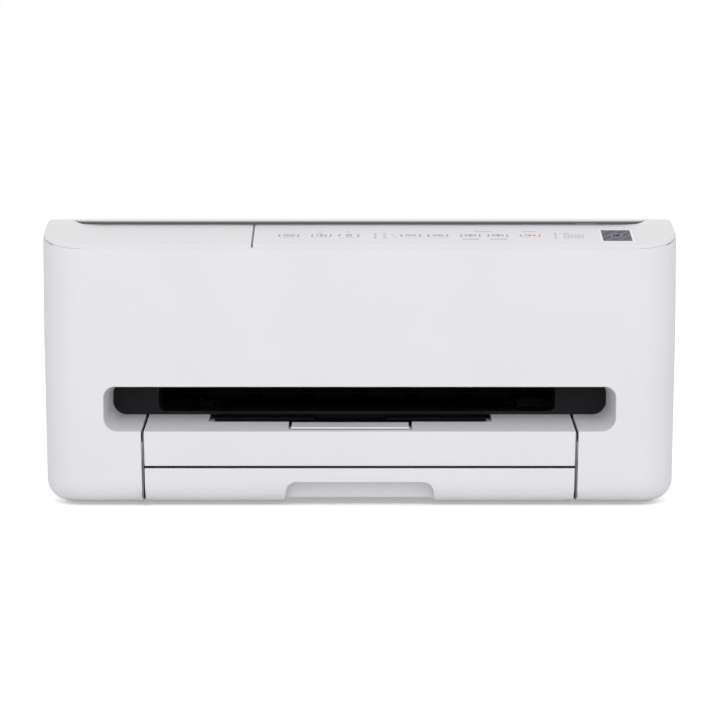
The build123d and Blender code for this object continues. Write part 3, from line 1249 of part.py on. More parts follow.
def scan_rod():
    """Rod that guides the scan bar."""
    return rod_x(SCAN_ROD_Y, SCAN_ROD_Z, SCAN_ROD_RADIUS, -SCAN_POST_X, SCAN_POST_X)


def scan_bar():
    """Contact image sensor bar with its sleeve on the rod and a foot on the rail."""
    x = SCAN_BAR_REST
    half = SCAN_BAR_HALF
    deep = WINDOW_DEPTH / 2 - 2
    y = WINDOW_Y
    glass = GLASS_TOP - GLASS
    low = SCAN_ROD_Z + 6
    bar = block(x - half, x + half, y - deep, y + deep, low, glass - 2 * FIT)
    bar = fillet(bar.edges().filter_by(Axis.Y), 1)
    bar -= block(x - 1.5, x + 1.5, y - deep + 4, y + deep - 4, glass - 1.4, GLASS_TOP)
    bar += block(x - half, x + half, SCAN_ROD_Y - 5, SCAN_ROD_Y + 5, SCAN_ROD_Z - 4, low + 1)
    bar += block(x - 6, x + 6, y + 69, y + 75, SCAN_RAIL + FIT, low + 1)
    bar += block(x - 6, x + 6, SCAN_BELT_Y - 7, SCAN_BELT_Y - 5 - FIT, SCAN_ROD_Z - 3, low + 1)
    return bar - rod_x(SCAN_ROD_Y, SCAN_ROD_Z, SCAN_ROD_RADIUS + SHAFT_FIT, x - half - 1, x + half + 1)


def scan_belt():
    """Toothed belt of the scan bar with its two pulleys."""
    end = SCAN_POST_X - SCAN_POST - 2
    loop = belt(SCAN_BELT_Y, SCAN_ROD_Z, end, PULLEY_RADIUS, 4)
    floor = PAN_BOTTOM + PAN_PLATE
    return loop + [rod_z(x, SCAN_BELT_Y, PULLEY_RADIUS, floor, SCAN_ROD_Z + 3) for x in (-end, end)]


def stay_arm():
    """Curved stay that slides through the deck as the scanner unit opens."""
    sector = ring_sector(HINGE_Y, HINGE_Z, ARM_RADIUS - ARM_HALF, ARM_RADIUS + ARM_HALF, ARM_START, ARM_END)
    half = ARM_PLATE / 2
    arm = prism_face(sector, ARM_X - half, ARM_X + half)
    y = HINGE_Y - ARM_RADIUS
    return arm + block(ARM_X - half, ARM_X + half, y - 10, y + 10, HINGE_Z - 3, PAN_BOTTOM)


def strip_piece(body, x0, x1):
    """Part of the strip's outer plate between two places along X."""
    plate = body & above_strip(STRIP_PLATE, FRONT + STRIP_DEPTH)
    return plate & block(x0, x1, FRONT - 1, FRONT + STRIP_DEPTH, 0, HEIGHT)


def key_face(grow):
    """Pill outline of a key."""
    return SlotOverall(KEY_LENGTH + 2 * grow, KEY_WIDTH + 2 * grow)


def on_panel(face, low, high):
    """Sketch on the strip, pushed between two heights above its surface."""
    return extrude(PANEL.offset(low) * face, high - low)


def light_places():
    """Centres of the status lights on the strip, along X and up the slope."""
    rows = (-1, 0, 1)
    return [(x, row * LIGHT_SPACING) for x in LIGHT_COLUMNS for row in rows]


def operation_panel(body):
    """Right part of the strip with holes for the keys and the lights."""
    panel = strip_piece(body, STRIP_SPLIT + STRIP_SPLIT_GAP / 2, WIDTH)
    for x in KEY_CENTRES:
        panel -= on_panel(Pos(x, 0) * key_face(KEY_GAP), -4, 2)
    for x, up in light_places():
        panel -= on_panel(Pos(x, up) * Circle(LIGHT_RADIUS + SHAFT_FIT), -4, 2)
    return panel


def key(x):
    """Pill-shaped key with a flange that holds it under the panel."""
    top = on_panel(Pos(x, 0) * key_face(0), -PLATE_NORMAL - FIT, KEY_PROUD)
    top = fillet(top.faces().filter_by(PANEL).sort_by(Axis.Z)[-1].edges(), KEY_PROUD / 2)
    flange = on_panel(Pos(x, 0) * key_face(1.2), -PLATE_NORMAL - FIT - KEY_FLANGE, -PLATE_NORMAL - FIT)
    return top + flange


def board_top():
    """Height of the panel board's surface, counted from the strip's surface."""
    return -PLATE_NORMAL - FIT - KEY_FLANGE - KEY_TRAVEL - 4 * FIT / 3


def panel_board():
    """Circuit board under the keys with one dome switch for each."""
    ends = (KEY_CENTRES[0] - 14, LIGHT_COLUMNS[-1] + 12)
    face = Pos((ends[0] + ends[1]) / 2, 0) * Rectangle(ends[1] - ends[0], 2 * KEY_WIDTH + 8)
    board = on_panel(face, board_top() - BOARD, board_top())
    for x in KEY_CENTRES:
        board += on_panel(Pos(x, 0) * Circle(2.2), board_top(), board_top() + FIT)
    return board


def status_lights():
    """Round light pipes between the board and the panel's surface."""
    return Compound(children=[
        on_panel(Pos(x, up) * Circle(LIGHT_RADIUS), board_top(), SHAFT_FIT) for x, up in light_places()])


def cover_hinge_pins():
    """Two short pins of the document cover."""
    return Compound(children=[
        rod_x(LID_AXIS_Y, LID_AXIS_Z, LID_PIN, x - LID_PIN_HALF, x + LID_PIN_HALF)
        for x in (-LID_HINGE_X, LID_HINGE_X)])


def cover_shell():
    """Document cover: thin plate with a stiffening rim and two hinge barrels."""
    shell = extrude(Pos(0, 0, LID_BOTTOM) * lid_plan(0), LID_PLATE)
    shell = fillet(shell.faces().sort_by(Axis.Z)[-1].edges(), LID_ROUND)
    half = WINDOW_WIDTH / 2
    deep = WINDOW_DEPTH / 2
    x, y = WINDOW_X, WINDOW_Y
    low = BED_HEIGHT + 0.6
    out = RIM_OUT
    rim = block(x - half - out, x + half + out, y - deep - out, y + deep + out, low, LID_BOTTOM)
    out -= RIM_WIDTH
    shell += rim - block(x - half - out, x + half + out, y - deep - out, y + deep + out, 0, LID_BOTTOM)
    side = LID_BARREL_HALF
    deep = LID_BARREL - 0.2
    for middle in (-LID_HINGE_X, LID_HINGE_X):
        shell += block(middle - side, middle + side, LID_AXIS_Y - deep, LID_AXIS_Y + deep, LID_AXIS_Z, LID_BOTTOM)
        shell += rod_x(LID_AXIS_Y, LID_AXIS_Z, LID_BARREL, middle - side, middle + side)
        shell -= rod_x(LID_AXIS_Y, LID_AXIS_Z, LID_PIN + SHAFT_FIT, middle - side - 1, middle + side + 1)
    return shell


def cover_pad():
    """Sponge pad with a white sheet that presses the original on the glass."""
    half = WINDOW_WIDTH / 2 - 3
    deep = WINDOW_DEPTH / 2 - 3
    return block(
        WINDOW_X - half, WINDOW_X + half, WINDOW_Y - deep, WINDOW_Y + deep, GLASS_TOP + FIT, LID_BOTTOM)


def carriage_belt():
    """Toothed belt of the carriage."""
    return belt(BELT_Y, BELT_Z, PULLEY_X, PULLEY_RADIUS, 6)


def build():
    """All pieces by the names of their nodes."""
    body = closed_body()
    drive_angle = math.degrees(math.atan2(ROLLER_Z - DRIVE_Z, FEED_Y - DRIVE_Y))
    feed_phase = meshed_phase(ROLLER_TEETH, DRIVE_TEETH, 0, drive_angle)
    exit_phase = meshed_phase(ROLLER_TEETH, DRIVE_TEETH, 0, 180 - drive_angle)
    pieces = {
        "base_tray": base_tray(), "main_case": main_case(body), "rear_cover": rear_cover(),
        "rubber_feet": rubber_feet(), "case_screws": case_screws(), "front_bridge": front_bridge(),
        "slot_frame": slot_frame(), "inner_deck": inner_deck(), "hinge_pins": hinge_pins(),
        "chassis_frame": chassis_frame(), "carriage_rod": carriage_rod(), "platen": platen(),
        "spur_wheel_bar": spur_wheel_bar(), "encoder_strip": encoder_strip(), "carriage_belt": carriage_belt(),
        "carriage_motor": carriage_motor(), "feed_motor": feed_motor(), "pickup_arm": pickup_arm(),
        "paper_turn_guide": paper_turn_guide(), "purge_unit": purge_unit(), "main_board": main_board(),
        "power_supply": power_supply(), "scanner_housing": scanner_housing(body), "scanner_pan": scanner_pan(),
        "platen_glass": platen_glass(), "operation_panel": operation_panel(body),
        "panel_trim": strip_piece(body, -WIDTH, STRIP_SPLIT - STRIP_SPLIT_GAP / 2), "panel_board": panel_board(),
        "status_lights": status_lights(), "scan_rod": scan_rod(), "scan_belt": scan_belt(), "stay_arm": stay_arm(),
        "cover_hinge_pins": cover_hinge_pins(), "scan_bar": scan_bar(), "cover_shell": cover_shell(),
        "cover_pad": cover_pad(), "cassette_tray": cassette_tray(), "cassette_front": cassette_front(),
        "paper_guide_left": paper_guide(-1), "paper_guide_right": paper_guide(1), "guide_pinion": guide_pinion(),
        "length_guide": length_guide(), "output_tray": output_tray(), "tray_extension": tray_extension(),
        "output_tab": output_tab(), "paper_stop": paper_stop(), "print_carriage": print_carriage(),
        "ink_cartridges": ink_cartridges(), "feed_roller": roller(FEED_Y, FEED_RADIUS, 1, feed_phase),
        "exit_roller": roller(EXIT_Y, EXIT_RADIUS, 6, exit_phase), "pickup_roller": pickup_roller(),
        "drive_gear": drive_gear()}
    for index, x in enumerate(KEY_CENTRES):
        pieces[f"key_{index + 1}"] = key(x)
    return pieces


os.makedirs("parts", exist_ok=True)
for name, piece in build().items():
    export_step(piece, f"parts/{name}.step")
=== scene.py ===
import json
import math
import bpy
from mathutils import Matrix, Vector


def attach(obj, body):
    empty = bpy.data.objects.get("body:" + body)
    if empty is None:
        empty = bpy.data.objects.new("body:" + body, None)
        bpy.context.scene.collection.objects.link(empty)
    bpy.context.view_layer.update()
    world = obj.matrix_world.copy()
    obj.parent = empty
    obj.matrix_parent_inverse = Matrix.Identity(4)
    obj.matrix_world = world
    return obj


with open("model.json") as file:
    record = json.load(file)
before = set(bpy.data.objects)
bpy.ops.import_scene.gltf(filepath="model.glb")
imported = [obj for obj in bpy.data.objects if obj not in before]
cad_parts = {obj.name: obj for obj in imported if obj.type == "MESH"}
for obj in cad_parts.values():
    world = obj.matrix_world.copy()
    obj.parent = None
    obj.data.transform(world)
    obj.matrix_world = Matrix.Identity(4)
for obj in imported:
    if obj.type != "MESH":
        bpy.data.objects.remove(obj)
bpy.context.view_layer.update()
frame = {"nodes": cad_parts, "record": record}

MM = 0.001

# Sizes of the object that the looks follow, in mm, with the strip's angle
FRONT = -170
STRIP_CREASE = 169.9
STRIP_ANGLE = math.radians(21.1)
KEY_DISTANCE = 16.9
KEY_CENTRES = (-46.3, -25.0, -7.1, 33.3, 51.0, 72.3, 90.3, 111.4)
KEY_END = 6.0
KEY_TOP = 0.25
LABEL_X = 167.8
LABEL_SIZE = 19.0
LABEL_MARGIN = 1.2
BED_TOP = 180
GLASS_LEFT = -165.0
GLASS_FRONT = -100.0
SCAN_BAR_TOP = 175.2
SCAN_BAR_MIDDLE_Y = 10
SCAN_LENGTH = 206
TANK_TOP = 121
TANK_LABEL_Y = 46
ROLLER_Z = 60
FEED_Y = 62
EXIT_Y = 4
SLEEVE_RADIUS = 3.2
PICKUP = (112, 35)
PICKUP_PIN = 2.7
PRINT_HEIGHT = 0.03
LABEL_HEIGHT = 0.08
PANEL_SEAM_X = -69.7
SEAM_TOP = (141.2, 48.8)
SEAM_LOW = (140.6, 6.0)
SEAM_DEPTH = 1.6
CREASE_GAP_Z = 168.3
LID_BAND = (186.3, 185.3)
LID_MIDDLE_Y = 10
LID_REACH = 20

# Zones of second finishes on one node, as two corners in mm
ROLLER_GEAR_ZONE = ((-202, -30, 20), (-192.6, 30, 100))
PORT_SHELL_ZONE = ((142.1, 140, 24), (175, 172, 44))
CONNECTOR_ZONE = ((142.1, 100, 50), (150, 130, 84))
INLET_PINS_X = (-157.55, -148.95)
INLET_PIN_ZONE = ((-1.3, 156.5, 32.7), (1.3, 167, 35.3))

# Camera of the photograph
FOCAL_LENGTH = 105
SENSOR = 36
CAMERA_PLACE = (0, -1527.5, 188.7)
CAMERA_PITCH = 3.9
CAMERA_SHIFT = 0.3 / 720

# Light of the studio
WORLD_LIGHT = 0.59
FRONT_POWER = 28
TOP_POWER = 8
FLOOR_NEAR = 0.25
FLOOR_FAR = 0.9
FLOOR_LIFT_NEAR = 0.4
FLOOR_LIFT_FAR = 0.7


def linear(value):
    """One sRGB channel from 0 to 1 as linear light."""
    return value / 12.92 if value <= 0.04045 else ((value + 0.055) / 1.055) ** 2.4


def colour(code, alpha=1.0):
    """sRGB hex value as a linear colour."""
    parts = [int(code[i:i + 2], 16) / 255 for i in (1, 3, 5)]
    return (*[linear(p) for p in parts], alpha)


def node(tree, kind, settings=(), links=()):
    """Adds a shader node: settings name sockets or properties, links name a socket and what feeds it."""
    made = tree.nodes.new(kind)
    for name, value in dict(settings).items():
        if isinstance(name, int) or name in made.inputs:
            made.inputs[name].default_value = value
        else:
            setattr(made, name, value)
    for name, source in dict(links).items():
        tree.links.new(source, made.inputs[name])
    return made


def new_material(name, **surface):
    """Material with one Principled surface, whose sockets are given by name."""
    material = bpy.data.materials.new(name)
    material.use_nodes = True
    tree = material.node_tree
    shader = tree.nodes["Principled BSDF"]
    for socket, value in surface.items():
        shader.inputs[socket.replace("_", " ")].default_value = value
    place = node(tree, "ShaderNodeTexCoord").outputs["Object"]
    return material, tree, shader, place


def grain(tree, shader, place, size, height, detail=2.0):
    """Moulded grain of a size in mm, as bump of a height in mm: coarser than real etching."""
    noise = node(tree, "ShaderNodeTexNoise", {"Scale": 1 / (size * MM), "Detail": detail},
                 {"Vector": place})
    bump = node(tree, "ShaderNodeBump", {"Strength": 1.0, "Distance": height * MM},
                {"Height": noise.outputs["Fac"]})
    tree.links.new(bump.outputs["Normal"], shader.inputs["Normal"])


def mottle(tree, shader, place, size, first, second):
    """Slow change between two colours over a size in mm."""
    noise = node(tree, "ShaderNodeTexNoise", {"Scale": 1 / (size * MM), "Detail": 3.0}, {"Vector": place})
    ramp = node(tree, "ShaderNodeValToRGB", {}, {"Fac": noise.outputs["Fac"]})
    ramp.color_ramp.elements[0].position = 0.35
    ramp.color_ramp.elements[1].position = 0.65
    ramp.color_ramp.elements[0].color = colour(first)
    ramp.color_ramp.elements[1].color = colour(second)
    tree.links.new(ramp.outputs["Color"], shader.inputs["Base Color"])


def white_abs():
    """ABS moulded in a finely etched tool: satin, nearly neutral white."""
    material, tree, shader, place = new_material("white_abs", Roughness=0.46, IOR=1.53)
    mottle(tree, shader, place, 60, "#E6E6E8", "#E8E8EA")
    grain(tree, shader, place, 0.5, 0.012)
    return material


def white_panel():
    """ABS with a smooth film, for the sloped strip and its keys: a little glossier than the case."""
    material, tree, shader, place = new_material("white_panel_film", Roughness=0.38, IOR=1.53)
    mottle(tree, shader, place, 60, "#E3E3E5", "#E5E5E7")
    grain(tree, shader, place, 0.35, 0.005)
    return material


def grey_abs():
    """Etched grey ABS of the base, inner deck, scanner pan and paper guides: half matt, a little mottled."""
    material, tree, shader, place = new_material("grey_abs", Roughness=0.5, IOR=1.53)
    mottle(tree, shader, place, 40, "#A9AAAD", "#AEAFB2")
    grain(tree, shader, place, 0.6, 0.02)
    return material


def black_abs():
    """Black ABS of the parts inside, satin."""
    material, tree, shader, place = new_material("black_abs", Roughness=0.42, IOR=1.53)
    mottle(tree, shader, place, 30, "#1B1B1E", "#202023")
    grain(tree, shader, place, 0.5, 0.015)
    return material


def path_black(name, first, second, gloss):
    """Deeply etched black ABS round the paper: its pits swallow most of the gloss."""
    material, tree, shader, place = new_material(name, Roughness=0.55, IOR=1.53)
    shader.inputs["Specular IOR Level"].default_value = gloss
    mottle(tree, shader, place, 30, first, second)
    grain(tree, shader, place, 0.5, 0.02)
    return material


def smoke_abs():
    """Dark grey ABS of the cassette, satin."""
    material, tree, shader, place = new_material("smoke_abs", Roughness=0.45, IOR=1.53)
    mottle(tree, shader, place, 40, "#303134", "#36373A")
    grain(tree, shader, place, 0.5, 0.015)
    return material


def rubber():
    """Moulded rubber: dark, dull, with a soft sheen at grazing angles."""
    material, tree, shader, place = new_material("moulded_rubber", Roughness=0.8, IOR=1.52)
    shader.inputs["Sheen Weight"].default_value = 0.15
    mottle(tree, shader, place, 8, "#1C1C1D", "#252527")
    grain(tree, shader, place, 0.4, 0.02)
    return material


def ground_steel():
    """Ground steel rod: bright metal with fine rings round its axis."""
    material, tree, shader, place = new_material("ground_steel", Metallic=1.0, Roughness=0.25)
    shader.inputs["Base Color"].default_value = colour("#C4C5C8")
    turned = node(tree, "ShaderNodeMapping", {"Scale": (6, 1, 1)}, {"Vector": place})
    noise = node(tree, "ShaderNodeTexNoise", {"Scale": 900.0, "Detail": 2.0},
                 {"Vector": turned.outputs["Vector"]})
    rough = node(tree, "ShaderNodeMapRange", {"To Min": 0.2, "To Max": 0.36},
                 {"Value": noise.outputs["Fac"]})
    tree.links.new(rough.outputs["Result"], shader.inputs["Roughness"])
    return material


def zinc_sheet():
    """Zinc-plated steel sheet: dull grey metal with a faint spangle."""
    material, tree, shader, place = new_material("zinc_sheet", Metallic=1.0, Roughness=0.42)
    cells = node(tree, "ShaderNodeTexVoronoi", {"Scale": 140.0}, {"Vector": place})
    ramp = node(tree, "ShaderNodeValToRGB", {}, {"Fac": cells.outputs["Distance"]})
    ramp.color_ramp.elements[0].color = colour("#9FA2A6")
    ramp.color_ramp.elements[1].color = colour("#B4B6B9")
    tree.links.new(ramp.outputs["Color"], shader.inputs["Base Color"])
    return material


def acetal():
    """Natural acetal of small gears: milky white, slightly waxy."""
    material, tree, shader, place = new_material("natural_acetal", Roughness=0.35, IOR=1.48)
    shader.inputs["Subsurface Weight"].default_value = 0.15
    mottle(tree, shader, place, 10, "#E4E2DA", "#EBE9E2")
    grain(tree, shader, place, 0.8, 0.01)
    return material


def float_glass():
    """Float glass over the scan bar: clear, with a very faint green tint."""
    material, tree, shader, place = new_material("float_glass", Roughness=0.02, IOR=1.52)
    shader.inputs["Transmission Weight"].default_value = 1.0
    mottle(tree, shader, place, 120, "#F2F7F5", "#F5F9F8")
    return material


def foam_sheet():
    """White film on foam: matt and even."""
    material, tree, shader, place = new_material("foam_sheet", Roughness=0.7, IOR=1.45)
    mottle(tree, shader, place, 30, "#EDEDEE", "#F1F1F2")
    grain(tree, shader, place, 0.9, 0.03)
    return material


def circuit_board():
    """Epoxy board with green solder mask: half gloss, slightly uneven over the copper."""
    material, tree, shader, place = new_material("solder_mask", Roughness=0.35, IOR=1.5)
    mottle(tree, shader, place, 5, "#14502F", "#1B6239")
    grain(tree, shader, place, 1.2, 0.02)
    return material


def ink_tank():
    """Glossy black moulding of the ink tanks."""
    material, tree, shader, place = new_material("ink_tank_moulding", Roughness=0.22, IOR=1.5)
    mottle(tree, shader, place, 20, "#161618", "#1A1A1D")
    grain(tree, shader, place, 0.8, 0.01)
    return material


def light_lens():
    """Lens of a status light that is off: glossy mid grey."""
    material, tree, shader, place = new_material("light_lens", Roughness=0.15, IOR=1.49)
    mottle(tree, shader, place, 2, "#8C8E92", "#96989C")
    return material


def timing_film():
    """Clear film with fine dark lines, drawn 1 mm apart, which is coarser than real, so that they show."""
    material, tree, shader, place = new_material("timing_film", Roughness=0.2, IOR=1.5)
    lines = node(tree, "ShaderNodeTexWave", {"Scale": 314.0, "bands_direction": "X"}, {"Vector": place})
    ramp = node(tree, "ShaderNodeValToRGB", {}, {"Fac": lines.outputs["Fac"]})
    ramp.color_ramp.elements[0].color = colour("#4A4D52")
    ramp.color_ramp.elements[1].color = colour("#B9BDC2")
    tree.links.new(ramp.outputs["Color"], shader.inputs["Base Color"])
    return material


def even_film(name, code):
    """Printed ink, film or thin strip: one plain half-matt colour, with no change over the surface."""
    material, _, shader, _ = new_material(name, Roughness=0.5, IOR=1.5)
    shader.inputs["Base Color"].default_value = colour(code)
    return material


def inside_box(tree, place, low, high):
    """Mask that is 1 inside a box given by two corners in mm."""
    middle = [(a + b) / 2 * MM for a, b in zip(low, high)]
    scale = [2 / ((b - a) * MM) for a, b in zip(low, high)]
    moved = node(tree, "ShaderNodeVectorMath", {"operation": "SUBTRACT"}, {0: place})
    moved.inputs[1].default_value = middle
    unit = node(tree, "ShaderNodeVectorMath", {"operation": "MULTIPLY"}, {0: moved.outputs["Vector"]})
    unit.inputs[1].default_value = scale
    size = node(tree, "ShaderNodeVectorMath", {"operation": "ABSOLUTE"}, {0: unit.outputs["Vector"]})
    parts = node(tree, "ShaderNodeSeparateXYZ", {}, {"Vector": size.outputs["Vector"]})
    first = node(tree, "ShaderNodeMath", {"operation": "MAXIMUM"},
                 {0: parts.outputs["X"], 1: parts.outputs["Y"]})
    both = node(tree, "ShaderNodeMath", {"operation": "MAXIMUM"},
                {0: first.outputs["Value"], 1: parts.outputs["Z"]})
    mask = node(tree, "ShaderNodeMath", {"operation": "LESS_THAN", 1: 1.0}, {0: both.outputs["Value"]})
    return mask.outputs["Value"]


def beyond_radius(tree, place, y, z, radius):
    """Mask that is 1 farther than a radius in mm from a line along X."""
    moved = node(tree, "ShaderNodeVectorMath", {"operation": "SUBTRACT"}, {0: place})
    moved.inputs[1].default_value = (0, y * MM, z * MM)
    flat = node(tree, "ShaderNodeVectorMath", {"operation": "MULTIPLY"}, {0: moved.outputs["Vector"]})
    flat.inputs[1].default_value = (0, 1, 1)
    away = node(tree, "ShaderNodeVectorMath", {"operation": "LENGTH"}, {0: flat.outputs["Vector"]})
    mask = node(tree, "ShaderNodeMath", {"operation": "GREATER_THAN", 1: radius * MM},
                {0: away.outputs["Value"]})
    return mask.outputs["Value"]


def inlay(tree, shader, mask, code, rough, metal=0.0):
    """Second finish on the part of a surface where the mask is 1."""
    for name, value in (("Base Color", colour(code)), ("Roughness", rough), ("Metallic", metal)):
        socket = shader.inputs[name]
        kind = "RGBA" if name == "Base Color" else "FLOAT"
        mix = node(tree, "ShaderNodeMix", {"data_type": kind}, {0: mask})
        first, second = (6, 7) if kind == "RGBA" else (2, 3)
        if socket.is_linked:
            tree.links.new(socket.links[0].from_socket, mix.inputs[first])
        else:
            mix.inputs[first].default_value = socket.default_value
        mix.inputs[second].default_value = value
        tree.links.new(mix.outputs[2 if kind == "RGBA" else 0], socket)


def roller_finish(name, y, first, second):
    """Steel shaft with rubber sleeves between the plates and an acetal gear outside."""
    material, tree, shader, place = new_material(name, Metallic=1.0, Roughness=0.3)
    mottle(tree, shader, place, 15, first, second)
    sleeve = beyond_radius(tree, place, y, ROLLER_Z, SLEEVE_RADIUS)
    inlay(tree, shader, sleeve, "#121214", 0.75)
    low, high = [(x, y + across, z) for x, across, z in ROLLER_GEAR_ZONE]
    inlay(tree, shader, inside_box(tree, place, low, high), "#E4E2DA", 0.4)
    grain(tree, shader, place, 0.5, 0.01)
    return material


def pickup_finish():
    """Steel pin through a rubber tyre."""
    material, tree, shader, place = new_material("pickup_tyre", Metallic=1.0, Roughness=0.3)
    mottle(tree, shader, place, 15, "#B9BABD", "#C6C7CA")
    inlay(tree, shader, beyond_radius(tree, place, *PICKUP, PICKUP_PIN), "#2A2A2C", 0.8)
    grain(tree, shader, place, 0.6, 0.03)
    return material


def lid_finish():
    """White ABS of the lid: its outward faces are drawn dark below LID_BAND, for the shadow line round it."""
    material = white_abs()
    tree = material.node_tree
    shader = tree.nodes["Principled BSDF"]
    place = tree.nodes["Texture Coordinate"].outputs["Object"]
    height = node(tree, "ShaderNodeSeparateXYZ", {}, {"Vector": place})
    band = node(tree, "ShaderNodeMapRange", {"From Min": LID_BAND[0] * MM, "From Max": LID_BAND[1] * MM},
                {"Value": height.outputs["Z"]})
    from_middle = node(tree, "ShaderNodeVectorMath", {"operation": "SUBTRACT"}, {0: place})
    from_middle.inputs[1].default_value = (0, LID_MIDDLE_Y * MM, 0)
    level = node(tree, "ShaderNodeVectorMath", {"operation": "MULTIPLY"},
                 {0: from_middle.outputs["Vector"]})
    level.inputs[1].default_value = (1, 1, 0)
    facing = node(tree, "ShaderNodeVectorMath", {"operation": "DOT_PRODUCT"},
                  {0: level.outputs["Vector"], 1: tree.nodes["Texture Coordinate"].outputs["Normal"]})
    outward = node(tree, "ShaderNodeMath", {"operation": "GREATER_THAN", 1: LID_REACH * MM},
                   {0: facing.outputs["Value"]})
    mask = node(tree, "ShaderNodeMath", {"operation": "MULTIPLY"},
                {0: band.outputs["Result"], 1: outward.outputs["Value"]})
    inlay(tree, shader, mask.outputs["Value"], "#5C5C5F", 0.6)
    return material


def board_finish():
    """Green solder mask with a bright nickel-plated port shell and milky nylon connectors."""
    material = circuit_board()
    tree = material.node_tree
    shader = tree.nodes["Principled BSDF"]
    place = tree.nodes["Texture Coordinate"].outputs["Object"]
    inlay(tree, shader, inside_box(tree, place, *PORT_SHELL_ZONE), "#C9C9C6", 0.3, 1.0)
    inlay(tree, shader, inside_box(tree, place, *CONNECTOR_ZONE), "#E9E6DC", 0.5)
    return material


def supply_finish():
    """Black case of the power supply with two nickel-plated pins in its inlet."""
    material = black_abs()
    tree = material.node_tree
    shader = tree.nodes["Principled BSDF"]
    place = tree.nodes["Texture Coordinate"].outputs["Object"]
    for pin in INLET_PINS_X:
        low, high = [(pin + x, y, z) for x, y, z in INLET_PIN_ZONE]
        inlay(tree, shader, inside_box(tree, place, low, high), "#D2D2CE", 0.25, 1.0)
    return material


FINISHES = {
    "case_white": white_abs(), "tab_white": white_abs(),
    "key_white": white_panel(), "key_red": white_panel(),
    "grey_plastic": grey_abs(), "dark_plastic": black_abs(), "cartridge_black": ink_tank(),
    "rubber_black": rubber(), "steel_bright": ground_steel(), "steel_sheet": zinc_sheet(),
    "gear_white": acetal(), "clear_glass": float_glass(), "pad_white": foam_sheet(),
    "board_green": circuit_board(), "light_lens": light_lens(), "strip_film": timing_film()}
SMOKE = smoke_abs()
PANEL_FILM = white_panel()


def dress_nodes():
    """Gives every CAD node the finish of its slot."""
    for entry in frame["record"]["subparts"]:
        piece = frame["nodes"][entry["node"]]
        piece.data.materials.clear()
        piece.data.materials.append(FINISHES[entry["material_slot"]])
    for name in ("operation_panel", "panel_trim"):
        frame["nodes"][name].data.materials[0] = PANEL_FILM
    for name in ("cassette_tray", "print_carriage"):
        frame["nodes"][name].data.materials[0] = SMOKE
    frame_black = path_black("slot_frame_abs", "#1B1B1E", "#1F1F22", 0.12)
    tray_black = path_black("paper_path_abs", "#0A0A0B", "#0C0C0D", 0.05)
    special = {"feed_roller": roller_finish("feed_roller_steel", FEED_Y, "#B9BABD", "#C6C7CA"),
               "exit_roller": roller_finish("exit_roller_black_steel", EXIT_Y, "#1A1A1C", "#202022"),
               "main_board": board_finish(), "pickup_roller": pickup_finish(),
               "power_supply": supply_finish(),
               "cover_shell": lid_finish(), "slot_frame": frame_black, "output_tray": tray_black,
               "tray_extension": tray_black, "paper_stop": tray_black, "spur_wheel_bar": tray_black,
               "platen": tray_black}
    for name, finish in special.items():
        frame["nodes"][name].data.materials[0] = finish


def bar(x, up, length, width, turn=0.0):
    """Flat bar added to the mesh in edit mode."""
    middle = (x * MM, up * MM, 0)
    bpy.ops.mesh.primitive_plane_add(size=MM, location=middle)
    bpy.ops.transform.resize(value=(length, width, 1), center_override=middle)
    if turn:
        bpy.ops.transform.rotate(value=math.radians(-turn), orient_axis="Z", center_override=middle)


def ring(x, up, radius, width):
    """Flat ring added to the mesh in edit mode."""
    bpy.ops.mesh.primitive_circle_add(
        vertices=20, radius=radius * MM, fill_type="NGON", location=(x * MM, up * MM, 0))
    bpy.ops.mesh.inset(thickness=width * MM)
    bpy.ops.mesh.delete(type="FACE")


def disc(x, up, radius):
    """Flat disc added to the mesh in edit mode."""
    bpy.ops.mesh.primitive_circle_add(
        vertices=20, radius=radius * MM, fill_type="NGON", location=(x * MM, up * MM, 0))


def printed(name, shapes, height=PRINT_HEIGHT):
    """Flat shapes as one thin closed layer that lies on the level plane."""
    bpy.ops.object.select_all(action="DESELECT")
    bpy.ops.mesh.primitive_plane_add(size=MM)
    piece = bpy.context.object
    piece.name = name
    bpy.ops.object.mode_set(mode="EDIT")
    bpy.ops.mesh.delete(type="VERT")
    for kind, *values in shapes:
        {"bar": bar, "ring": ring, "disc": disc}[kind](*values)
    bpy.ops.object.mode_set(mode="OBJECT")
    bpy.ops.object.transform_apply(location=True, rotation=True, scale=True)
    layer = piece.modifiers.new("layer", "SOLIDIFY")
    layer.thickness = height * MM
    layer.offset = 1
    bpy.ops.object.modifier_apply(modifier="layer")
    return piece


def set_down(piece, origin, tilt=0.0):
    """Moves a piece from the level plane to its place in mm, and leaves its object at the origin."""
    bpy.ops.object.select_all(action="DESELECT")
    piece.select_set(True)
    bpy.context.view_layer.objects.active = piece
    piece.rotation_euler = (tilt, 0, 0)
    piece.location = [v * MM for v in origin]
    bpy.ops.object.transform_apply(location=True, rotation=True, scale=True)


def on_strip(piece, height):
    """Lays a piece on the sloped strip, a height in mm above its surface."""
    y = FRONT + KEY_DISTANCE
    z = STRIP_CREASE + math.tan(STRIP_ANGLE) * KEY_DISTANCE
    origin = (0, y - height * math.sin(STRIP_ANGLE), z + height * math.cos(STRIP_ANGLE))
    set_down(piece, origin, STRIP_ANGLE)


def finish_piece(piece, material, body):
    """Finish, body and material slot of a new piece."""
    piece.data.materials.clear()
    piece.data.materials.append(material)
    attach(piece, body)


def frame_lines(x, up, wide, high, line=0.45):
    """Four bars round a rectangle."""
    return [("bar", x, up + side * high / 2, wide, line) for side in (-1, 1)] + [
        ("bar", x + side * wide / 2, up, line, high) for side in (-1, 1)]


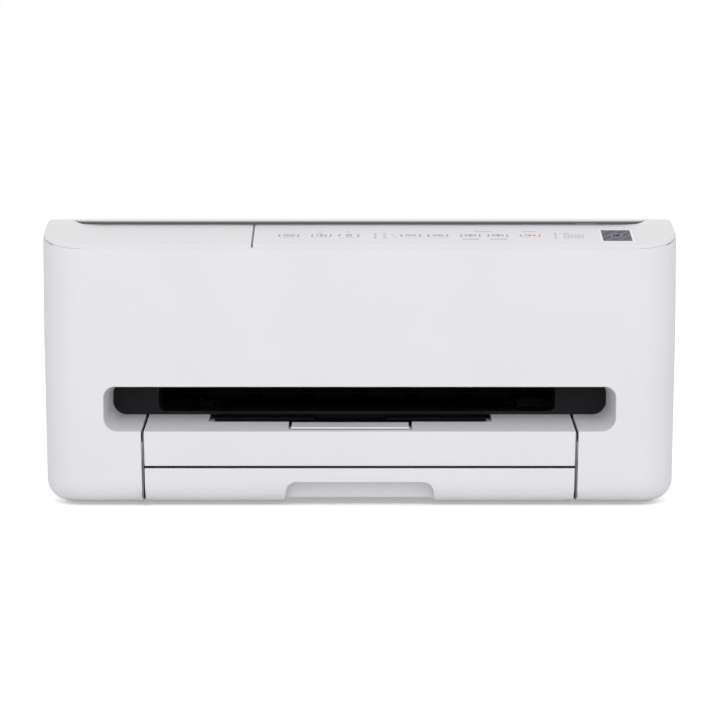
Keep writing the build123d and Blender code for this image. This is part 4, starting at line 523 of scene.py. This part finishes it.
# Generic signs of lines, rings and discs on the keys: kind, place from the key's centre, sizes in mm
KEY_SIGNS = (
    [*frame_lines(-2.2, 0, 2.0, 3.2), ("ring", 0.5, 0, 1.2, 0.45), *frame_lines(2.8, 0, 1.6, 2.6)],
    [*frame_lines(-1.6, 0.3, 2.6, 3.2), *frame_lines(1.4, -0.3, 2.6, 3.2), ("disc", 3.6, 0, 0.5)],
    [*frame_lines(0, 0, 3.4, 3.0), ("bar", 0, 0.5, 2.0, 0.45), ("bar", 0, -0.5, 2.0, 0.45)],
    [("ring", -1.9, 0, 1.5, 0.45), ("bar", 0.3, 0, 0.5, 2.8), ("ring", 2.3, 0, 1.3, 0.45)],
    [("bar", -2.6, 0, 0.5, 3.2), ("ring", -0.6, 0, 1.4, 0.45), ("bar", 1.4, 0, 0.5, 3.2),
     ("disc", 2.8, 0, 0.8)],
    [("bar", -3.0, 0, 1.2, 2.2), ("ring", 0, 0, 1.7, 0.5), ("disc", 0, 0, 0.7), ("bar", 3.0, 0, 1.2, 2.2)],
    [("bar", -3.0, 0, 1.2, 2.2), ("ring", 0, 0, 1.7, 0.5), ("bar", 0, 0, 1.3, 1.3, 45),
     ("bar", 3.0, 0, 1.2, 2.2)],
    [("ring", -2.4, 0, 1.5, 0.5), ("bar", 0, 0, 1.7, 0.6), ("bar", 0, 1.0, 1.7, 0.6),
     ("bar", 0, -1.0, 1.7, 0.6), ("bar", 2.6, 0, 1.8, 1.8, 45)])


def key_signs(grey, red):
    """One printed sign on each key."""
    for index, shapes in enumerate(KEY_SIGNS):
        middle = KEY_CENTRES[index]
        moved = [(kind, x + middle, *rest) for kind, x, *rest in shapes]
        moved += [("bar", middle + side * KEY_END, 0, 0.7, 3.2) for side in (-1, 1)]
        name = f"key_{index + 1}"
        sign = printed(f"{name}_sign", moved)
        on_strip(sign, KEY_TOP)
        finish_piece(sign, red if index == 7 else grey, name)


def strip_marks(pale):
    """Fine printed lines and dots round the keys and the lights."""
    shapes = [("bar", -25.6, 6.4, 2.2, 0.6), ("bar", -7.4, 6.4, 2.2, 0.6)]
    for x, count in ((80.7, 6), (110.8, 5)):
        shapes += [("bar", x + (i - (count - 1) / 2) * 1.9, 6.9, 1.5, 0.8) for i in range(count)]
    for x in (72.2, 90.6):
        shapes += [("bar", x + (i - 2) * 2.1, -6.9, 1.7, 0.8) for i in range(5)]
    shapes += [("bar", 16.5, row * 3.6, 2.4 - 0.3 * row, 0.8) for row in (-1, 0, 1)]
    shapes += [("bar", 21.5, 1.8, 1.4, 0.8), ("bar", 23.2, -1.2, 1.4, 0.8)]
    for row in (-1.5, -0.5, 0.5, 1.5):
        shapes += [("bar", 134 + 2.3 * i, row * 2.6, 1.7, 0.7) for i in range(2 if row > 1 else 6)]
    marks = printed("strip_marks", shapes)
    on_strip(marks, 0)
    finish_piece(marks, pale, "scanner_unit")


def plain_label():
    """Square film label with a white margin, dark hatching and a plain violet mark."""
    whole = LABEL_SIZE + 2 * LABEL_MARGIN
    margin = printed("label_margin", [("bar", LABEL_X, 0, whole, whole)], LABEL_HEIGHT)
    on_strip(margin, 0)
    finish_piece(margin, even_film("label_margin_film", "#F4F4F5"), "scanner_unit")
    field = printed("label_field", [("bar", LABEL_X, 0, LABEL_SIZE, LABEL_SIZE)])
    on_strip(field, LABEL_HEIGHT)
    material, tree, shader, place = new_material("label_film", Roughness=0.35, IOR=1.5)
    turned = node(tree, "ShaderNodeMapping", {"Rotation": (0, 0, math.radians(45))}, {"Vector": place})
    wave = node(tree, "ShaderNodeTexWave", {"Scale": 62.8, "bands_direction": "X"},
                {"Vector": turned.outputs["Vector"]})
    ramp = node(tree, "ShaderNodeValToRGB", {}, {"Fac": wave.outputs["Fac"]})
    ramp.color_ramp.elements[0].color = colour("#1E1E22")
    ramp.color_ramp.elements[1].color = colour("#55555C")
    tree.links.new(ramp.outputs["Color"], shader.inputs["Base Color"])
    finish_piece(field, material, "scanner_unit")
    sign = printed("label_disc", [("bar", LABEL_X, 0, 5.0, 5.0), ("disc", LABEL_X, 0, 3.6)], 0.02)
    on_strip(sign, LABEL_HEIGHT + PRINT_HEIGHT)
    finish_piece(sign, even_film("label_violet_ink", "#8E86B4"), "scanner_unit")


def seam_strips(dark, pale):
    """Grey strips at the bottom of the open seams as painted shade, and a film over the crease's hair gap."""
    seam = printed("panel_seam_shade_strip", [("bar", PANEL_SEAM_X, 2.0, 1.2, 36.4)], 0.2)
    on_strip(seam, -0.4)
    finish_piece(seam, dark, "scanner_unit")
    middle = [(a + b) / 2 for a, b in zip(SEAM_TOP, SEAM_LOW)]
    length = SEAM_TOP[1] - SEAM_LOW[1]
    lean = math.degrees(math.atan((SEAM_TOP[0] - SEAM_LOW[0]) / length))
    for name, side in (("left", -1), ("right", 1)):
        shape = ("bar", side * middle[0], middle[1], 1.2, length, side * lean)
        strip = printed(f"case_seam_shade_strip_{name}", [shape], 0.4)
        set_down(strip, (0, FRONT + SEAM_DEPTH, 0), math.radians(90))
        finish_piece(strip, dark, "root")
    film = printed("crease_film", [("bar", 0, CREASE_GAP_Z, 362, 0.7)], 0.02)
    set_down(film, (0, FRONT, 0), math.radians(90))
    finish_piece(film, pale, "scanner_unit")


def scan_light():
    """Light guide and lens slit on top of the scan bar."""
    guide = printed("scan_light_guide", [("bar", -174.8, SCAN_BAR_MIDDLE_Y, 2.4, SCAN_LENGTH)], 0.25)
    set_down(guide, (0, 0, SCAN_BAR_TOP))
    finish_piece(guide, even_film("acrylic_light_guide", "#DDE3E6"), "scan_bar")
    slit = printed("scan_lens_slit", [("bar", -170.6, SCAN_BAR_MIDDLE_Y, 1.4, SCAN_LENGTH)], 0.1)
    set_down(slit, (0, 0, SCAN_BAR_TOP))
    finish_piece(slit, even_film("lens_array_glass", "#0C0D10"), "scan_bar")


def cartridge_labels():
    """Plain film labels on the two tanks, with bars in the inks' colours."""
    inks = {"black": [(128, 14, "#1C1C1F")],
            "colour": [(153.5, 5, "#1F8FBF"), (160, 5, "#C23A78"), (166.5, 5, "#E3C22F")]}
    for name, bars in inks.items():
        middle = sum(x for x, _, _ in bars) / len(bars)
        film = printed(f"{name}_tank_label", [("bar", middle, TANK_LABEL_Y, 22, 24)], 0.1)
        set_down(film, (0, 0, TANK_TOP))
        finish_piece(film, even_film(f"{name}_label_film", "#E4E4E2"), "carriage")
        for index, (x, width, code) in enumerate(bars):
            band = printed(f"{name}_tank_ink_{index + 1}", [("bar", x, TANK_LABEL_Y, width, 19)])
            set_down(band, (0, 0, TANK_TOP + 0.1))
            ink = even_film(f"{name}_label_ink_{index + 1}", code)
            finish_piece(band, ink, "carriage")


def bed_marks(grey):
    """Corner arrow and size ticks printed beside the glass."""
    left, front = GLASS_LEFT, GLASS_FRONT
    shapes = [("bar", left + 30 * i, front - 4.2, 0.8, 3.4) for i in range(1, 10)]
    shapes += [("bar", left - 5.6, front + 30 * i, 3.4, 0.8) for i in range(1, 8)]
    shapes += [("bar", left - 5, front - 4.2, 4.2, 0.9), ("bar", left - 6.6, front - 2.6, 0.9, 4.2),
               ("bar", left - 4.6, front - 2.2, 5.0, 0.9, 45)]
    marks = printed("bed_marks", shapes)
    set_down(marks, (0, 0, BED_TOP))
    finish_piece(marks, grey, "scanner_unit")


def camera():
    """Camera at the photograph's angle."""
    data = bpy.data.cameras.new("camera")
    data.lens = FOCAL_LENGTH
    data.sensor_width = SENSOR
    data.shift_x = CAMERA_SHIFT
    eye = bpy.data.objects.new("camera", data)
    bpy.context.scene.collection.objects.link(eye)
    eye.location = [v * MM for v in CAMERA_PLACE]
    eye.rotation_euler = (math.radians(90 - CAMERA_PITCH), 0, 0)
    bpy.context.scene.camera = eye


def softbox(name, place, target, size, power):
    """Square area lamp that faces a target."""
    data = bpy.data.lights.new(name, "AREA")
    data.size = size
    data.energy = power
    lamp = bpy.data.objects.new(name, data)
    bpy.context.scene.collection.objects.link(lamp)
    lamp.location = place
    lamp.rotation_euler = (Vector(target) - Vector(place)).to_track_quat("-Z", "Y").to_euler()


def studio():
    """Even white surroundings, with one softbox in front and one above."""
    world = bpy.data.worlds.new("studio")
    bpy.context.scene.world = world
    world.use_nodes = True
    tree = world.node_tree
    tree.nodes.clear()
    path = node(tree, "ShaderNodeLightPath")
    seen = node(tree, "ShaderNodeMath", {"operation": "MAXIMUM"},
                {0: path.outputs["Is Camera Ray"], 1: path.outputs["Is Glossy Ray"]})
    both = node(tree, "ShaderNodeMath", {"operation": "MAXIMUM"},
                {0: seen.outputs["Value"], 1: path.outputs["Is Transmission Ray"]})
    strength = node(tree, "ShaderNodeMapRange", {"To Min": WORLD_LIGHT, "To Max": 1.0},
                    {"Value": both.outputs["Value"]})
    sky = node(tree, "ShaderNodeBackground", {"Color": (1, 1, 1, 1)},
               {"Strength": strength.outputs["Result"]})
    node(tree, "ShaderNodeOutputWorld", {}, {"Surface": sky.outputs["Background"]})
    softbox("front_softbox", (0, -2.6, 1.5), (0, 0, 0.1), 2.4, FRONT_POWER)
    softbox("top_softbox", (0, 0.3, 2.4), (0, 0, 0.1), 2.0, TOP_POWER)


def floor():
    """Pale floor that runs out of sight and keeps the object's shadow."""
    bpy.ops.object.select_all(action="DESELECT")
    bpy.ops.mesh.primitive_plane_add(size=40, location=(0, 0, 0))
    ground = bpy.context.object
    ground.name = "floor"
    material, tree, shader, place = new_material("pale_floor", Roughness=0.9)
    mottle(tree, shader, place, 900, "#FAFAFA", "#FCFCFC")
    path = node(tree, "ShaderNodeLightPath")
    away = node(tree, "ShaderNodeVectorMath", {"operation": "LENGTH"}, {"Vector": place})
    lift = node(tree, "ShaderNodeMapRange",
                {"From Min": FLOOR_NEAR, "From Max": FLOOR_FAR, "To Min": FLOOR_LIFT_NEAR,
                 "To Max": FLOOR_LIFT_FAR}, {"Value": away.outputs["Value"]})
    seen = node(tree, "ShaderNodeMath", {"operation": "MULTIPLY"},
                {0: lift.outputs["Result"], 1: path.outputs["Is Camera Ray"]})
    shader.inputs["Emission Color"].default_value = (1, 1, 1, 1)
    tree.links.new(seen.outputs["Value"], shader.inputs["Emission Strength"])
    ground.data.materials.append(material)


bpy.context.scene.view_settings.view_transform = "Standard"
camera()
studio()
floor()
dress_nodes()
GREY_INK = even_film("grey_screen_ink", "#6E6F74")
PALE_INK = even_film("pale_screen_ink", "#8A8B90")
RED_INK = even_film("red_screen_ink", "#C8504E")
key_signs(GREY_INK, RED_INK)
strip_marks(PALE_INK)
plain_label()
bed_marks(PALE_INK)
# The grey strips laid in the seams are painted shade.
seam_strips(even_film("grey_painted_seam_shade", "#6C6D70"), PANEL_FILM)
scan_light()
cartridge_labels()
